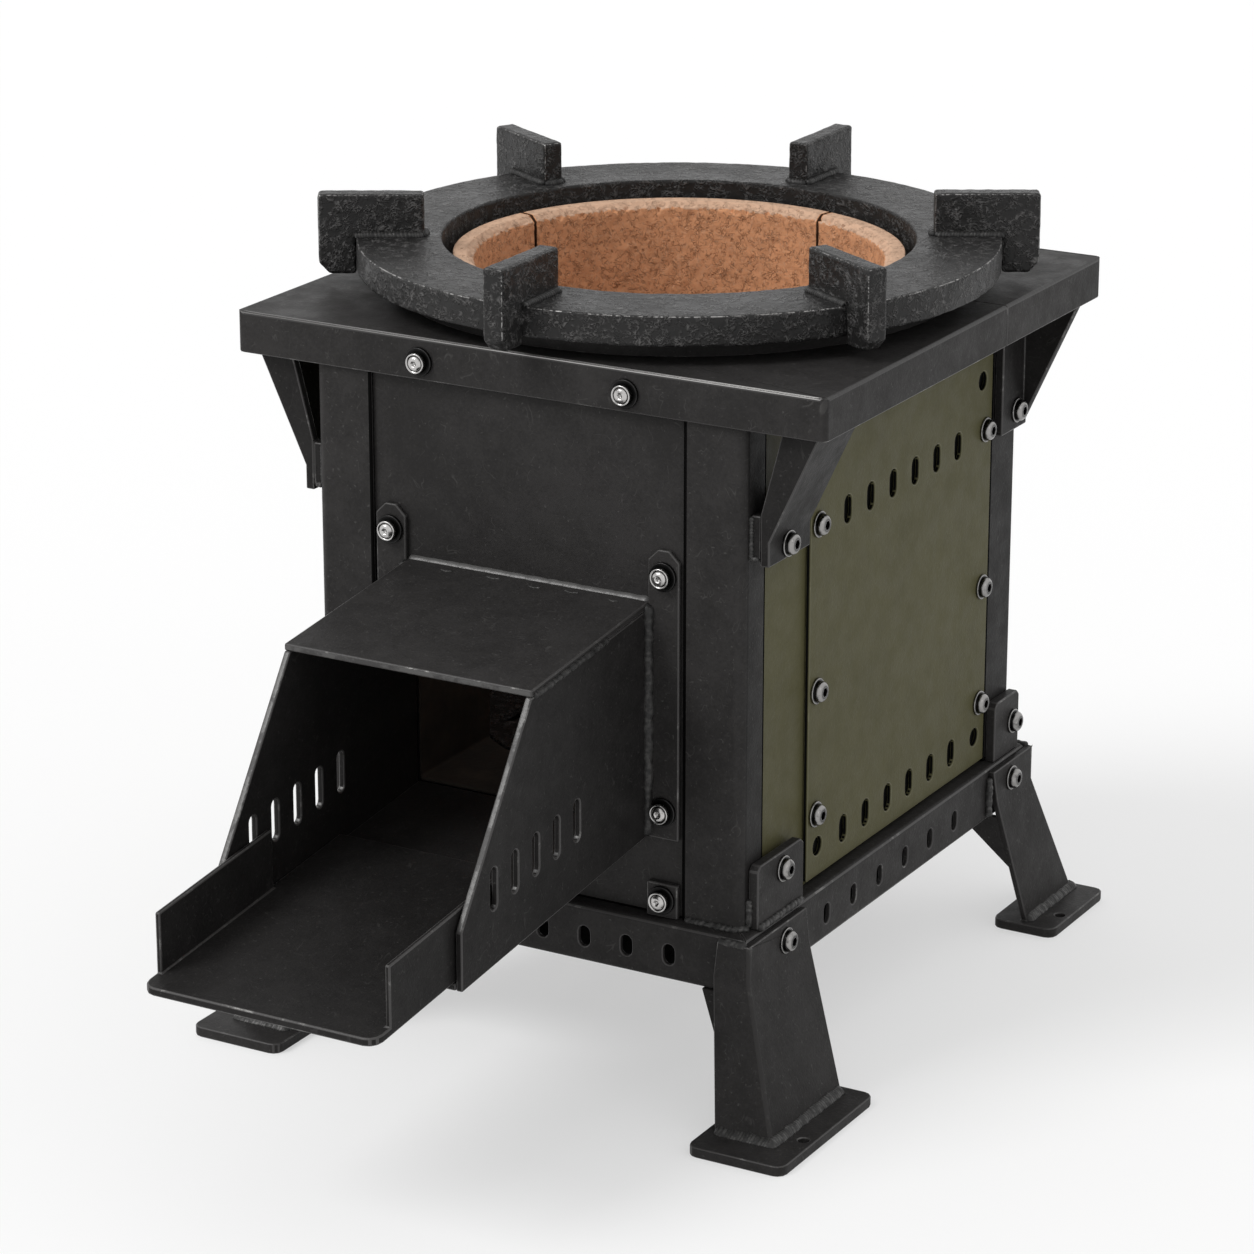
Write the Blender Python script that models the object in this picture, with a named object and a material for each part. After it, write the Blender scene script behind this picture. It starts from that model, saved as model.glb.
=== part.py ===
"""Rocket stove: a bolted sheet-steel body on splayed legs, with a firebrick riser, a sloping
feed chute with a sliding tray, and a loose cast pot ring. Metres, +Z up, the feed chute faces -Y."""

import math

import bmesh
import bpy
from mathutils import Matrix, Vector

# Clearances
GAP = 0.0003
SEAM = 0.0006
BOLT_CLEARANCE = 0.0005
TRAY_SIDE_CLEARANCE = 0.0015
TRAY_FLOOR_CLEARANCE = 0.0005

# Top plate, folded from sheet in a front and a rear part
TOP_OVERHANG = 0.064
TOP_DEPTH = 0.456
TOP_HEIGHT = 0.547
TOP_SHEET = 0.004
SKIRT_HEIGHT = 0.031
SEAM_Y = 0.060
TOP_CORNER_RADIUS = 0.005
SKIRT_BOLT_SPACING = 0.168

# Body
RISER_WALL = 0.009
POST_SHEET = 0.003
POST_WIDE_FLANGE = 0.048
POST_NARROW_FLANGE = 0.032
POST_BEND_RADIUS = 0.008
PANEL_SHEET = 0.0025
ACCESS_SHEET = 0.004
ACCESS_STRIP = 0.067
ACCESS_REAR_MARGIN = 0.0015
ACCESS_BOTTOM_MARGIN = 0.004
ACCESS_TOP_MARGIN = 0.043
VENT_SLOT_WIDTH = 0.0125
VENT_SLOT_HEIGHT = 0.022
VENT_SLOT_PITCH = 0.0365
VENT_SLOT_COUNT = 6
UPPER_VENT_DROP = 0.126
LOWER_VENT_RISE = 0.027
PEEP_HOLE_RADIUS = 0.0074
PEEP_HOLE_INSET = 0.017
UPPER_PEEP_DROP = 0.085

# Base frame, hearth and legs
BASE_OVERHANG = 0.0095
BASE_BOTTOM = 0.099
BASE_HEIGHT = 0.044
BASE_SHEET = 0.004
BASE_FLANGE = 0.036
BASE_RETURN = 0.060
BASE_RIM_RADIUS = 0.004
BASE_SLOT_WIDTH = 0.0095
BASE_SLOT_HEIGHT = 0.016
FRONT_SLOT_PITCH = 0.035
FRONT_SLOT_COUNT = 8
SIDE_SLOT_PITCH = 0.043
SIDE_SLOT_COUNT = 6
HEARTH_SHEET = 0.004
HEARTH_SLOT_WIDTH = 0.012
HEARTH_SLOT_LENGTH = 0.160
HEARTH_SLOT_PITCH = 0.036
HEARTH_SLOT_COUNT = 5
LEG_SHEET = 0.005
LEG_TOP_DROP = 0.003
LEG_BEND_DROP = 0.030
FRONT_LEG_SPLAY_X = 0.0376
FRONT_LEG_SPLAY_Y = 0.0325
FRONT_LEG_SIDE_TOP = 0.088
FRONT_LEG_SIDE_BEND = 0.093
FRONT_LEG_SIDE_FOOT = 0.108
FRONT_LEG_FLANGE_TOP = 0.026
FRONT_LEG_FLANGE_BEND = 0.029
FRONT_LEG_FLANGE_FOOT = 0.047
REAR_LEG_SPLAY_X = 0.019
REAR_LEG_SPLAY_Y = 0.045
REAR_LEG_SIDE_TOP = 0.072
REAR_LEG_SIDE_BEND = 0.064
REAR_LEG_SIDE_FOOT = 0.086
REAR_LEG_FLANGE_TOP = 0.050
REAR_LEG_FLANGE_BEND = 0.052
REAR_LEG_FLANGE_FOOT = 0.020
FOOT_SHEET = 0.008
FRONT_FOOT_MARGIN_X = 0.022
FRONT_FOOT_MARGIN_Y = 0.028
REAR_FOOT_MARGIN_X = 0.025
REAR_FOOT_MARGIN_Y = 0.006
FOOT_INNER_MARGIN = 0.008
FOOT_CORNER_RADIUS = 0.008
FOOT_HOLE_RADIUS = 0.0042
FOOT_HOLE_INSET = 0.0085
FRONT_FOOT_HOLE_SETBACK = 0.049
REAR_FOOT_HOLE_SETBACK = 0.068
LEG_BOLT_FROM_EDGE = 0.032
LEG_BOLT_DROP = 0.017

# Brackets under the overhang of the top plate, and clips at the foot of the body
BRACKET_SHEET = 0.007
BRACKET_LIP_TOP = 0.028
BRACKET_LIP_RISE = 0.020
FRONT_BRACKET_WIDTH = 0.062
REAR_BRACKET_WIDTH = 0.044
FRONT_BRACKET_SETBACK = 0.008
FRONT_BRACKET_DROP = 0.127
REAR_BRACKET_DROP = 0.134
BRACKET_FOOT_HEIGHT = 0.018
BRACKET_STRUT_RISE = 0.095
BRACKET_TAB = 0.008
BRACKET_TAB_RISE = 0.005
BRACKET_TAB_HEIGHT = 0.031
BRACKET_TAB_SETBACK = 0.001
GUSSET_TOE = 0.004
CLIP_SHEET = 0.008
FRONT_CLIP_LENGTH = 0.070
REAR_CLIP_LENGTH = 0.044
FRONT_CLIP_SETBACK = 0.010
CLIP_HEIGHT = 0.048
CLIP_CHAMFER = 0.004

# Feed chute and tray
CHUTE_WIDTH = 0.200
CHUTE_SHEET = 0.005
CHUTE_TILT = math.radians(6.0)
CHUTE_RISE = 0.060
CHUTE_HEIGHT = 0.176
ROOF_LENGTH = 0.163
CHEEK_LENGTH = 0.256
CHEEK_NOSE = 0.043
CHEEK_SLOT_WIDTH = 0.009
CHEEK_SLOT_HEIGHT = 0.031
CHEEK_SLOT_PITCH = 0.0278
CHEEK_SLOT_COUNT = 5
CHEEK_SLOT_FRONT = 0.042
CHEEK_SLOT_RISE = 0.056
STRIP_SHEET = 0.004
STRIP_MARGIN = 0.0027
STRIP_ABOVE_ROOF = 0.040
STRIP_CHAMFER = 0.008
LOWER_CLIP_HEIGHT = 0.026
LOWER_CLIP_SHEET = 0.005
TRAY_SHEET = 0.006
TRAY_WALL = 0.004
TRAY_WALL_HEIGHT = 0.050
TRAY_OVERHANG = 0.098
TRAY_LENGTH = 0.246
TRAY_WALL_LENGTH = 0.136
TRAY_WALL_SETBACK = 0.019
TRAY_CORNER_RADIUS = 0.010

# Fire lining
BORE_RADIUS = 0.152
BRICK_THICKNESS = 0.015
BRICK_JOINT = 0.001
BRICK_COUNT = 4
BRICK_TURN = math.radians(-15.0)
BRICK_RISE = 0.025
BRICK_CHAMFER = 0.005
CHAMBER_ROOF = 0.011
GRATE_LEDGE = 0.010
GRATE_SHEET = 0.006
GRATE_STEP = 0.0005
GRATE_SLOT_WIDTH = 0.012
GRATE_SLOT_PITCH = 0.026
GRATE_SLOT_COUNT = 9
GRATE_RIM = 0.018
PLATE_HOLE_CLEARANCE = 0.002

# Pot ring with six lugs, on a collar
RING_HOLE_CLEARANCE = 0.008
RING_WIDTH = 0.063
RING_THICKNESS = 0.022
RING_LIFT = 0.015
RING_SPIGOT = 0.004
RING_SPIGOT_DEPTH = 0.006
COLLAR_SETBACK = 0.028
COLLAR_CLEARANCE = 0.001
LUG_COUNT = 6
LUG_THICKNESS = 0.016
LUG_HEIGHT = 0.032
LUG_INSET = 0.013
LUG_REACH = 0.028
LUG_HANG = 0.006
LUG_CHAMFER = 0.008

# Bolts
BOLT_RADIUS = 0.004
BOLT_HEAD_RADIUS = 0.007
BOLT_HEAD_HEIGHT = 0.0044
BOLT_DOME_RADIUS = 0.0045
WASHER_RADIUS = 0.009
WASHER_SHEET = 0.0016
LEG_BOLT_GRIP = 0.012

# Facets of round shapes
ROUND_STEPS = 72
BOLT_STEPS = 16
ARC_STEPS = 3

# Places that follow from the sizes above
PLATE_UNDERSIDE = TOP_HEIGHT - TOP_SHEET
BASE_TOP = BASE_BOTTOM + BASE_HEIGHT
BRICK_RADIUS = BORE_RADIUS + BRICK_THICKNESS
BRICK_TOP = TOP_HEIGHT + BRICK_RISE
BODY_HALF_X = BRICK_RADIUS + RISER_WALL
TOP_WIDTH = 2 * (BODY_HALF_X + TOP_OVERHANG)
BODY_HALF_Y = TOP_DEPTH / 2 - TOP_SHEET - GAP
BODY_FLOOR = BASE_TOP + GAP
BODY_CEILING = PLATE_UNDERSIDE - GAP
PANEL_FACE_X = BODY_HALF_X - POST_SHEET - GAP
PANEL_FACE_Y = BODY_HALF_Y - POST_SHEET - GAP
BASE_HALF_X = BODY_HALF_X + BASE_OVERHANG
BASE_HALF_Y = BODY_HALF_Y + BASE_OVERHANG
LEG_CORNER_X = BASE_HALF_X + GAP + LEG_SHEET
LEG_CORNER_Y = BASE_HALF_Y + GAP + LEG_SHEET
REAR_FOOT_END = LEG_CORNER_Y + REAR_LEG_SPLAY_Y + REAR_FOOT_MARGIN_Y
BODY_FACE_X = BODY_HALF_X + GAP
STRUT_FOOT = PLATE_UNDERSIDE - FRONT_BRACKET_DROP
GUSSET_FOOT = PLATE_UNDERSIDE - REAR_BRACKET_DROP
BRACKET_FOOT_TOP = STRUT_FOOT + BRACKET_FOOT_HEIGHT
BRACKET_KNEE = BRACKET_FOOT_TOP + BRACKET_STRUT_RISE
BRACKET_TIP = TOP_WIDTH / 2 - TOP_SHEET - GAP
CHUTE_BACK = -PANEL_FACE_Y - GAP
CHUTE_BOTTOM = BASE_TOP + CHUTE_RISE
CHUTE_SILL = CHUTE_BOTTOM + CHUTE_SHEET
CHUTE_LINTEL = CHUTE_BOTTOM + CHUTE_HEIGHT - CHUTE_SHEET
CHUTE_SLOPE = math.tan(CHUTE_TILT)
TRAY_FRONT = CHUTE_BACK - CHEEK_LENGTH - TRAY_OVERHANG
RING_HOLE_RADIUS = BRICK_RADIUS + RING_HOLE_CLEARANCE
RING_RADIUS = RING_HOLE_RADIUS + RING_WIDTH
RING_BOTTOM = TOP_HEIGHT + RING_LIFT
RING_TOP = RING_BOTTOM + RING_THICKNESS
COLLAR_RADIUS = RING_RADIUS - COLLAR_SETBACK
LUG_INNER_RADIUS = RING_HOLE_RADIUS + LUG_INSET
GRATE_HEIGHT = CHUTE_BOTTOM + GRATE_STEP
THROAT_FLOOR = GRATE_HEIGHT + GRATE_SHEET
CHAMBER_TOP = CHUTE_LINTEL + CHAMBER_ROOF
CENTRE_SHIFT_Y = -(TRAY_FRONT + REAR_FOOT_END) / 2


def clear_scene():
    """Remove every object of the open scene."""
    for old in list(bpy.data.objects):
        bpy.data.objects.remove(old, do_unlink=True)


def finish(name, colour, roughness, metallic):
    """A plain Principled material."""
    material = bpy.data.materials.new(name)
    material.use_nodes = True
    shader = material.node_tree.nodes["Principled BSDF"]
    shader.inputs["Base Color"].default_value = (*colour, 1.0)
    shader.inputs["Roughness"].default_value = roughness
    shader.inputs["Metallic"].default_value = metallic
    return material


def empty(name, place, parent=None):
    """An empty that carries other objects."""
    carrier = bpy.data.objects.new(name, None)
    carrier.location = place
    carrier.parent = parent
    bpy.context.scene.collection.objects.link(carrier)
    return carrier


def rectangle(low, high):
    """Outline of a plain rectangle between two corners."""
    return [(low[0], low[1]), (high[0], low[1]), (high[0], high[1]), (low[0], high[1])]


def arc(centre, radius, start, end, steps):
    """Points along an arc, both ends included, with angles in radians."""
    turns = [start + (end - start) * step / steps for step in range(steps + 1)]
    return [(centre[0] + radius * math.cos(turn), centre[1] + radius * math.sin(turn)) for turn in turns]


def rounded_rectangle(low, high, radius):
    """Outline of a rectangle with four round corners."""
    left, bottom = low[0] + radius, low[1] + radius
    right, top = high[0] - radius, high[1] - radius
    quarter = math.pi / 2
    outline = []
    for turn, centre in enumerate([(right, top), (left, top), (left, bottom), (right, bottom)]):
        outline += arc(centre, radius, turn * quarter, (turn + 1) * quarter, ARC_STEPS)
    return outline


def circle(centre, radius, steps):
    """Outline of a circle."""
    return arc(centre, radius, 0.0, math.tau * (steps - 1) / steps, steps - 1)


def slot(centre, width, height):
    """Outline of an upright slot with round ends."""
    half = (height - width) / 2
    upper = arc((centre[0], centre[1] + half), width / 2, 0.0, math.pi, 2 * ARC_STEPS)
    lower = arc((centre[0], centre[1] - half), width / 2, math.pi, math.tau, 2 * ARC_STEPS)
    return upper + lower


def row(count, pitch):
    """Places of an evenly spaced row about zero."""
    return [(index - (count - 1) / 2) * pitch for index in range(count)]


ALONG_Z = Matrix.Identity(4)
ALONG_Y = Matrix(((1, 0, 0, 0), (0, 0, 1, 0), (0, 1, 0, 0), (0, 0, 0, 1)))
ALONG_X = Matrix(((0, 0, 1, 0), (1, 0, 0, 0), (0, 1, 0, 0), (0, 0, 0, 1)))


def add_prism(bm, outline, start, end, frame=ALONG_Z):
    """Extrude an outline from start to end along the frame's third axis."""
    low = [bm.verts.new(frame @ Vector((u, v, start))) for u, v in outline]
    high = [bm.verts.new(frame @ Vector((u, v, end))) for u, v in outline]
    bridge(bm, [low, high])


def bridge(bm, loops):
    """Join loops of vertices into a closed tube with capped ends."""
    count = len(loops[0])
    bm.faces.new(loops[0])
    bm.faces.new(loops[-1])
    for lower, upper in zip(loops, loops[1:]):
        for index in range(count):
            after = (index + 1) % count
            bm.faces.new((lower[index], lower[after], upper[after], upper[index]))


def add_ring(bm, profile, steps, start=0.0, end=math.tau):
    """Turn a closed (radius, height) profile about Z, right round or as a sector."""
    whole = math.isclose(end - start, math.tau)
    stations = steps if whole else steps + 1
    loops = []
    for index in range(stations):
        turn = start + (end - start) * index / steps
        loops.append([bm.verts.new((r * math.cos(turn), r * math.sin(turn), z)) for r, z in profile])
    if whole:
        loops.append(loops[0])
    else:
        bm.faces.new(loops[0])
        bm.faces.new(loops[-1])
    count = len(profile)
    for here, there in zip(loops, loops[1:]):
        for index in range(count):
            after = (index + 1) % count
            bm.faces.new((here[index], here[after], there[after], there[index]))


def build(name, bm, material, carrier):
    """Turn a closed bmesh, drawn in the stove's frame, into an object on its carrier."""
    bmesh.ops.recalc_face_normals(bm, faces=bm.faces)
    origin = carrier.location if carrier.parent else Vector()
    bmesh.ops.translate(bm, verts=bm.verts, vec=-origin)
    mesh = bpy.data.meshes.new(name)
    bm.to_mesh(mesh)
    bm.free()
    mesh.shade_smooth()
    mesh.set_sharp_from_angle(angle=math.radians(30))
    mesh.materials.append(material)
    made = bpy.data.objects.new(name, mesh)
    made.parent = carrier
    bpy.context.scene.collection.objects.link(made)
    return made


def combine(target, bm, operation):
    """Cut a bmesh from an object, or join it on, with a hidden helper object."""
    helper = build(f"{target.name}_{operation.lower()}", bm, target.data.materials[0], target.parent)
    helper.hide_render = True
    helper.display_type = "WIRE"
    modifier = target.modifiers.new(operation.lower(), "BOOLEAN")
    modifier.operation = operation
    modifier.solver = "EXACT"
    modifier.object = helper


def mirrored(outline, sign):
    """An outline with its first coordinate multiplied by a sign."""
    return [(sign * u, v) for u, v in outline]


def bolt_hole_radius():
    """Radius of a clearance hole for the bolts."""
    return BOLT_RADIUS + BOLT_CLEARANCE


class Stove:
    """The empties and finishes that every sub-part uses."""

    def __init__(self):
        self.frame = empty("stove_frame", (0.0, CENTRE_SHIFT_Y, 0.0))
        self.ring_axis = empty("pot_ring_axis", (0.0, 0.0, RING_BOTTOM), self.frame)
        slide_point = (0.0, TRAY_FRONT, tray_underside(TRAY_FRONT))
        self.tray_axis = empty("feed_tray_axis", slide_point, self.frame)
        self.black = finish("black_steel", (0.026, 0.025, 0.025), 0.48, 0.6)
        self.olive = finish("olive_steel", (0.080, 0.076, 0.045), 0.5, 0.2)
        self.iron = finish("cast_iron", (0.020, 0.020, 0.021), 0.62, 0.5)
        self.brick = finish("firebrick", (0.50, 0.24, 0.12), 0.9, 0.0)
        self.castable = finish("castable_refractory", (0.34, 0.25, 0.18), 0.95, 0.0)
        self.wool = finish("insulation", (0.62, 0.56, 0.45), 1.0, 0.0)
        self.bright = finish("stainless_bolt", (0.56, 0.55, 0.53), 0.28, 1.0)


def chute_bottom(y):
    """Height of the underside of the sloping chute at a place along Y."""
    return CHUTE_BOTTOM + (y - CHUTE_BACK) * CHUTE_SLOPE


def tray_underside(y):
    """Height of the tray's underside at a place along Y."""
    return chute_bottom(y) + CHUTE_SHEET + TRAY_FLOOR_CLEARANCE


def top_plates(stove):
    """Front and rear top plates with a folded skirt, cut for the riser."""
    half_x, half_y = TOP_WIDTH / 2, TOP_DEPTH / 2
    skirt_bottom = TOP_HEIGHT - SKIRT_HEIGHT
    outer = rounded_rectangle((-half_x, -half_y), (half_x, half_y), TOP_CORNER_RADIUS)
    inner_low = (-half_x + TOP_SHEET, -half_y + TOP_SHEET)
    inner_high = (half_x - TOP_SHEET, half_y - TOP_SHEET)
    hole = circle((0.0, 0.0), BRICK_RADIUS + PLATE_HOLE_CLEARANCE, ROUND_STEPS)
    for name, low, high in (
        ("top_plate_front", -TOP_DEPTH, SEAM_Y - SEAM / 2),
        ("top_plate_rear", SEAM_Y + SEAM / 2, TOP_DEPTH),
    ):
        bm = bmesh.new()
        add_prism(bm, outer, skirt_bottom, TOP_HEIGHT)
        plate = build(name, bm, stove.black, stove.frame)
        bm = bmesh.new()
        add_prism(bm, rectangle(inner_low, inner_high), skirt_bottom - TOP_SHEET, PLATE_UNDERSIDE)
        combine(plate, bm, "DIFFERENCE")
        bm = bmesh.new()
        add_prism(bm, hole, skirt_bottom, TOP_HEIGHT + TOP_SHEET)
        combine(plate, bm, "DIFFERENCE")
        bm = bmesh.new()
        span = rectangle((-TOP_WIDTH, low), (TOP_WIDTH, high))
        add_prism(bm, span, skirt_bottom - TOP_SHEET, TOP_HEIGHT + TOP_SHEET)
        combine(plate, bm, "INTERSECT")
        if name == "top_plate_front":
            bm = bmesh.new()
            for x in row(2, SKIRT_BOLT_SPACING):
                outline = circle((x, skirt_bolt_height()), bolt_hole_radius(), BOLT_STEPS)
                add_prism(bm, outline, -TOP_DEPTH, -half_y + 2 * TOP_SHEET, ALONG_Y)
            combine(plate, bm, "DIFFERENCE")


def skirt_bolt_height():
    """Height of the bolts through the front skirt."""
    return TOP_HEIGHT - TOP_SHEET - (SKIRT_HEIGHT - TOP_SHEET) / 2


def pot_support(stove):
    """Collar on the top plate, the loose pot ring, and its six welded lugs."""
    collar_inner = RING_HOLE_RADIUS + RING_SPIGOT + COLLAR_CLEARANCE
    bm = bmesh.new()
    low, high = TOP_HEIGHT + GAP, RING_BOTTOM - GAP
    add_ring(bm, rectangle((collar_inner, low), (COLLAR_RADIUS, high)), ROUND_STEPS)
    build("ring_collar", bm, stove.black, stove.frame)

    spigot_radius = RING_HOLE_RADIUS + RING_SPIGOT
    spigot_bottom = RING_BOTTOM - RING_SPIGOT_DEPTH
    profile = [(RING_HOLE_RADIUS, spigot_bottom), (spigot_radius, spigot_bottom)]
    profile += [(spigot_radius, RING_BOTTOM), (RING_RADIUS, RING_BOTTOM)]
    profile += [(RING_RADIUS, RING_TOP), (RING_HOLE_RADIUS, RING_TOP)]
    bm = bmesh.new()
    add_ring(bm, profile, ROUND_STEPS)
    build("pot_ring", bm, stove.iron, stove.ring_axis)

    reach = RING_RADIUS + LUG_REACH
    hang = RING_BOTTOM - LUG_HANG
    seat, edge = RING_TOP + GAP, RING_RADIUS + GAP
    outline = [(LUG_INNER_RADIUS, seat), (edge, seat), (edge, hang), (reach - LUG_CHAMFER, hang)]
    outline += [(reach, hang + LUG_CHAMFER), (reach, RING_TOP + LUG_HEIGHT)]
    outline += [(LUG_INNER_RADIUS, RING_TOP + LUG_HEIGHT)]
    for index in range(LUG_COUNT):
        turn = Matrix.Rotation(math.tau * index / LUG_COUNT - math.pi / 2, 4, "Z")
        bm = bmesh.new()
        add_prism(bm, outline, -LUG_THICKNESS / 2, LUG_THICKNESS / 2, turn @ ALONG_Y)
        build(f"pot_lug_{index + 1}", bm, stove.iron, stove.ring_axis)


def corner_posts(stove):
    """Four angle posts with a round bend: the front pair's wide flange is forward, the rear's sideways."""
    for end, sign_y in (("front", -1), ("rear", 1)):
        flange_x = POST_WIDE_FLANGE if sign_y < 0 else POST_NARROW_FLANGE
        flange_y = POST_NARROW_FLANGE if sign_y < 0 else POST_WIDE_FLANGE
        bend = (BODY_HALF_X - POST_BEND_RADIUS, BODY_HALF_Y - POST_BEND_RADIUS)
        inner_radius = POST_BEND_RADIUS - POST_SHEET
        outline = [(BODY_HALF_X, BODY_HALF_Y - flange_y)]
        outline += arc(bend, POST_BEND_RADIUS, 0.0, math.pi / 2, 2 * ARC_STEPS)
        outline += [(BODY_HALF_X - flange_x, BODY_HALF_Y)]
        outline += [(BODY_HALF_X - flange_x, BODY_HALF_Y - POST_SHEET)]
        outline += arc(bend, inner_radius, math.pi / 2, 0.0, 2 * ARC_STEPS)
        outline += [(BODY_HALF_X - POST_SHEET, BODY_HALF_Y - flange_y)]
        for side, sign_x in (("left", -1), ("right", 1)):
            bm = bmesh.new()
            corner = [(sign_x * x, sign_y * y) for x, y in outline]
            add_prism(bm, corner, BODY_FLOOR, BODY_CEILING)
            build(f"corner_post_{end}_{side}", bm, stove.black, stove.frame)


def access_span():
    """Places along Y of the front and rear edges of the access panels, and of their vent slots."""
    low = -BODY_HALF_Y + POST_NARROW_FLANGE + ACCESS_STRIP
    high = BODY_HALF_Y - POST_WIDE_FLANGE - ACCESS_REAR_MARGIN
    middle = (low + high) / 2
    return low, high, [middle + place for place in row(VENT_SLOT_COUNT, VENT_SLOT_PITCH)]


def body_panels(stove):
    """Front panel with the feed opening, back panel, side panels, and the bolted access panels."""
    bend_room = POST_SHEET + POST_BEND_RADIUS
    half_x = BODY_HALF_X - bend_room
    side_y = BODY_HALF_Y - bend_room
    bm = bmesh.new()
    add_prism(bm, rectangle((-half_x, BODY_FLOOR), (half_x, BODY_CEILING)), -PANEL_FACE_Y,
              -PANEL_FACE_Y + PANEL_SHEET, ALONG_Y)
    front = build("front_panel", bm, stove.black, stove.frame)
    half_mouth = CHUTE_WIDTH / 2 - CHUTE_SHEET
    mouth = rectangle((-half_mouth, CHUTE_SILL), (half_mouth, CHUTE_LINTEL))
    bm = bmesh.new()
    add_prism(bm, mouth, -BODY_HALF_Y, 0.0, ALONG_Y)
    for x in row(2, SKIRT_BOLT_SPACING):
        outline = circle((x, skirt_bolt_height()), bolt_hole_radius(), BOLT_STEPS)
        add_prism(bm, outline, -BODY_HALF_Y, 0.0, ALONG_Y)
    combine(front, bm, "DIFFERENCE")
    bm = bmesh.new()
    add_prism(bm, rectangle((-half_x, BODY_FLOOR), (half_x, BODY_CEILING)), PANEL_FACE_Y - PANEL_SHEET,
              PANEL_FACE_Y, ALONG_Y)
    build("back_panel", bm, stove.black, stove.frame)

    low, high, vents = access_span()
    lower_vents = BODY_FLOOR + LOWER_VENT_RISE
    panel_bottom = BODY_FLOOR + ACCESS_BOTTOM_MARGIN
    panel_top = BODY_CEILING - ACCESS_TOP_MARGIN
    access = rectangle((low, panel_bottom), (high, panel_top))
    for side, sign in (("left", -1), ("right", 1)):
        bm = bmesh.new()
        outline = rectangle((-side_y, BODY_FLOOR), (side_y, BODY_CEILING))
        add_prism(bm, outline, sign * (PANEL_FACE_X - PANEL_SHEET), sign * PANEL_FACE_X, ALONG_X)
        build(f"side_panel_{side}", bm, stove.olive, stove.frame)
        bm = bmesh.new()
        inner = PANEL_FACE_X + GAP
        add_prism(bm, access, sign * inner, sign * (inner + ACCESS_SHEET), ALONG_X)
        panel = build(f"access_panel_{side}", bm, stove.olive, stove.frame)
        bm = bmesh.new()
        start, end = sign * (inner - ACCESS_SHEET), sign * (inner + 2 * ACCESS_SHEET)
        for height in (BODY_CEILING - UPPER_VENT_DROP, lower_vents):
            for y in vents:
                add_prism(bm, slot((y, height), VENT_SLOT_WIDTH, VENT_SLOT_HEIGHT), start, end, ALONG_X)
        for height in (BODY_CEILING - UPPER_PEEP_DROP, lower_vents):
            for y in (low + PEEP_HOLE_INSET, high - PEEP_HOLE_INSET):
                add_prism(bm, circle((y, height), PEEP_HOLE_RADIUS, BOLT_STEPS), start, end, ALONG_X)
        combine(panel, bm, "DIFFERENCE")


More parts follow.
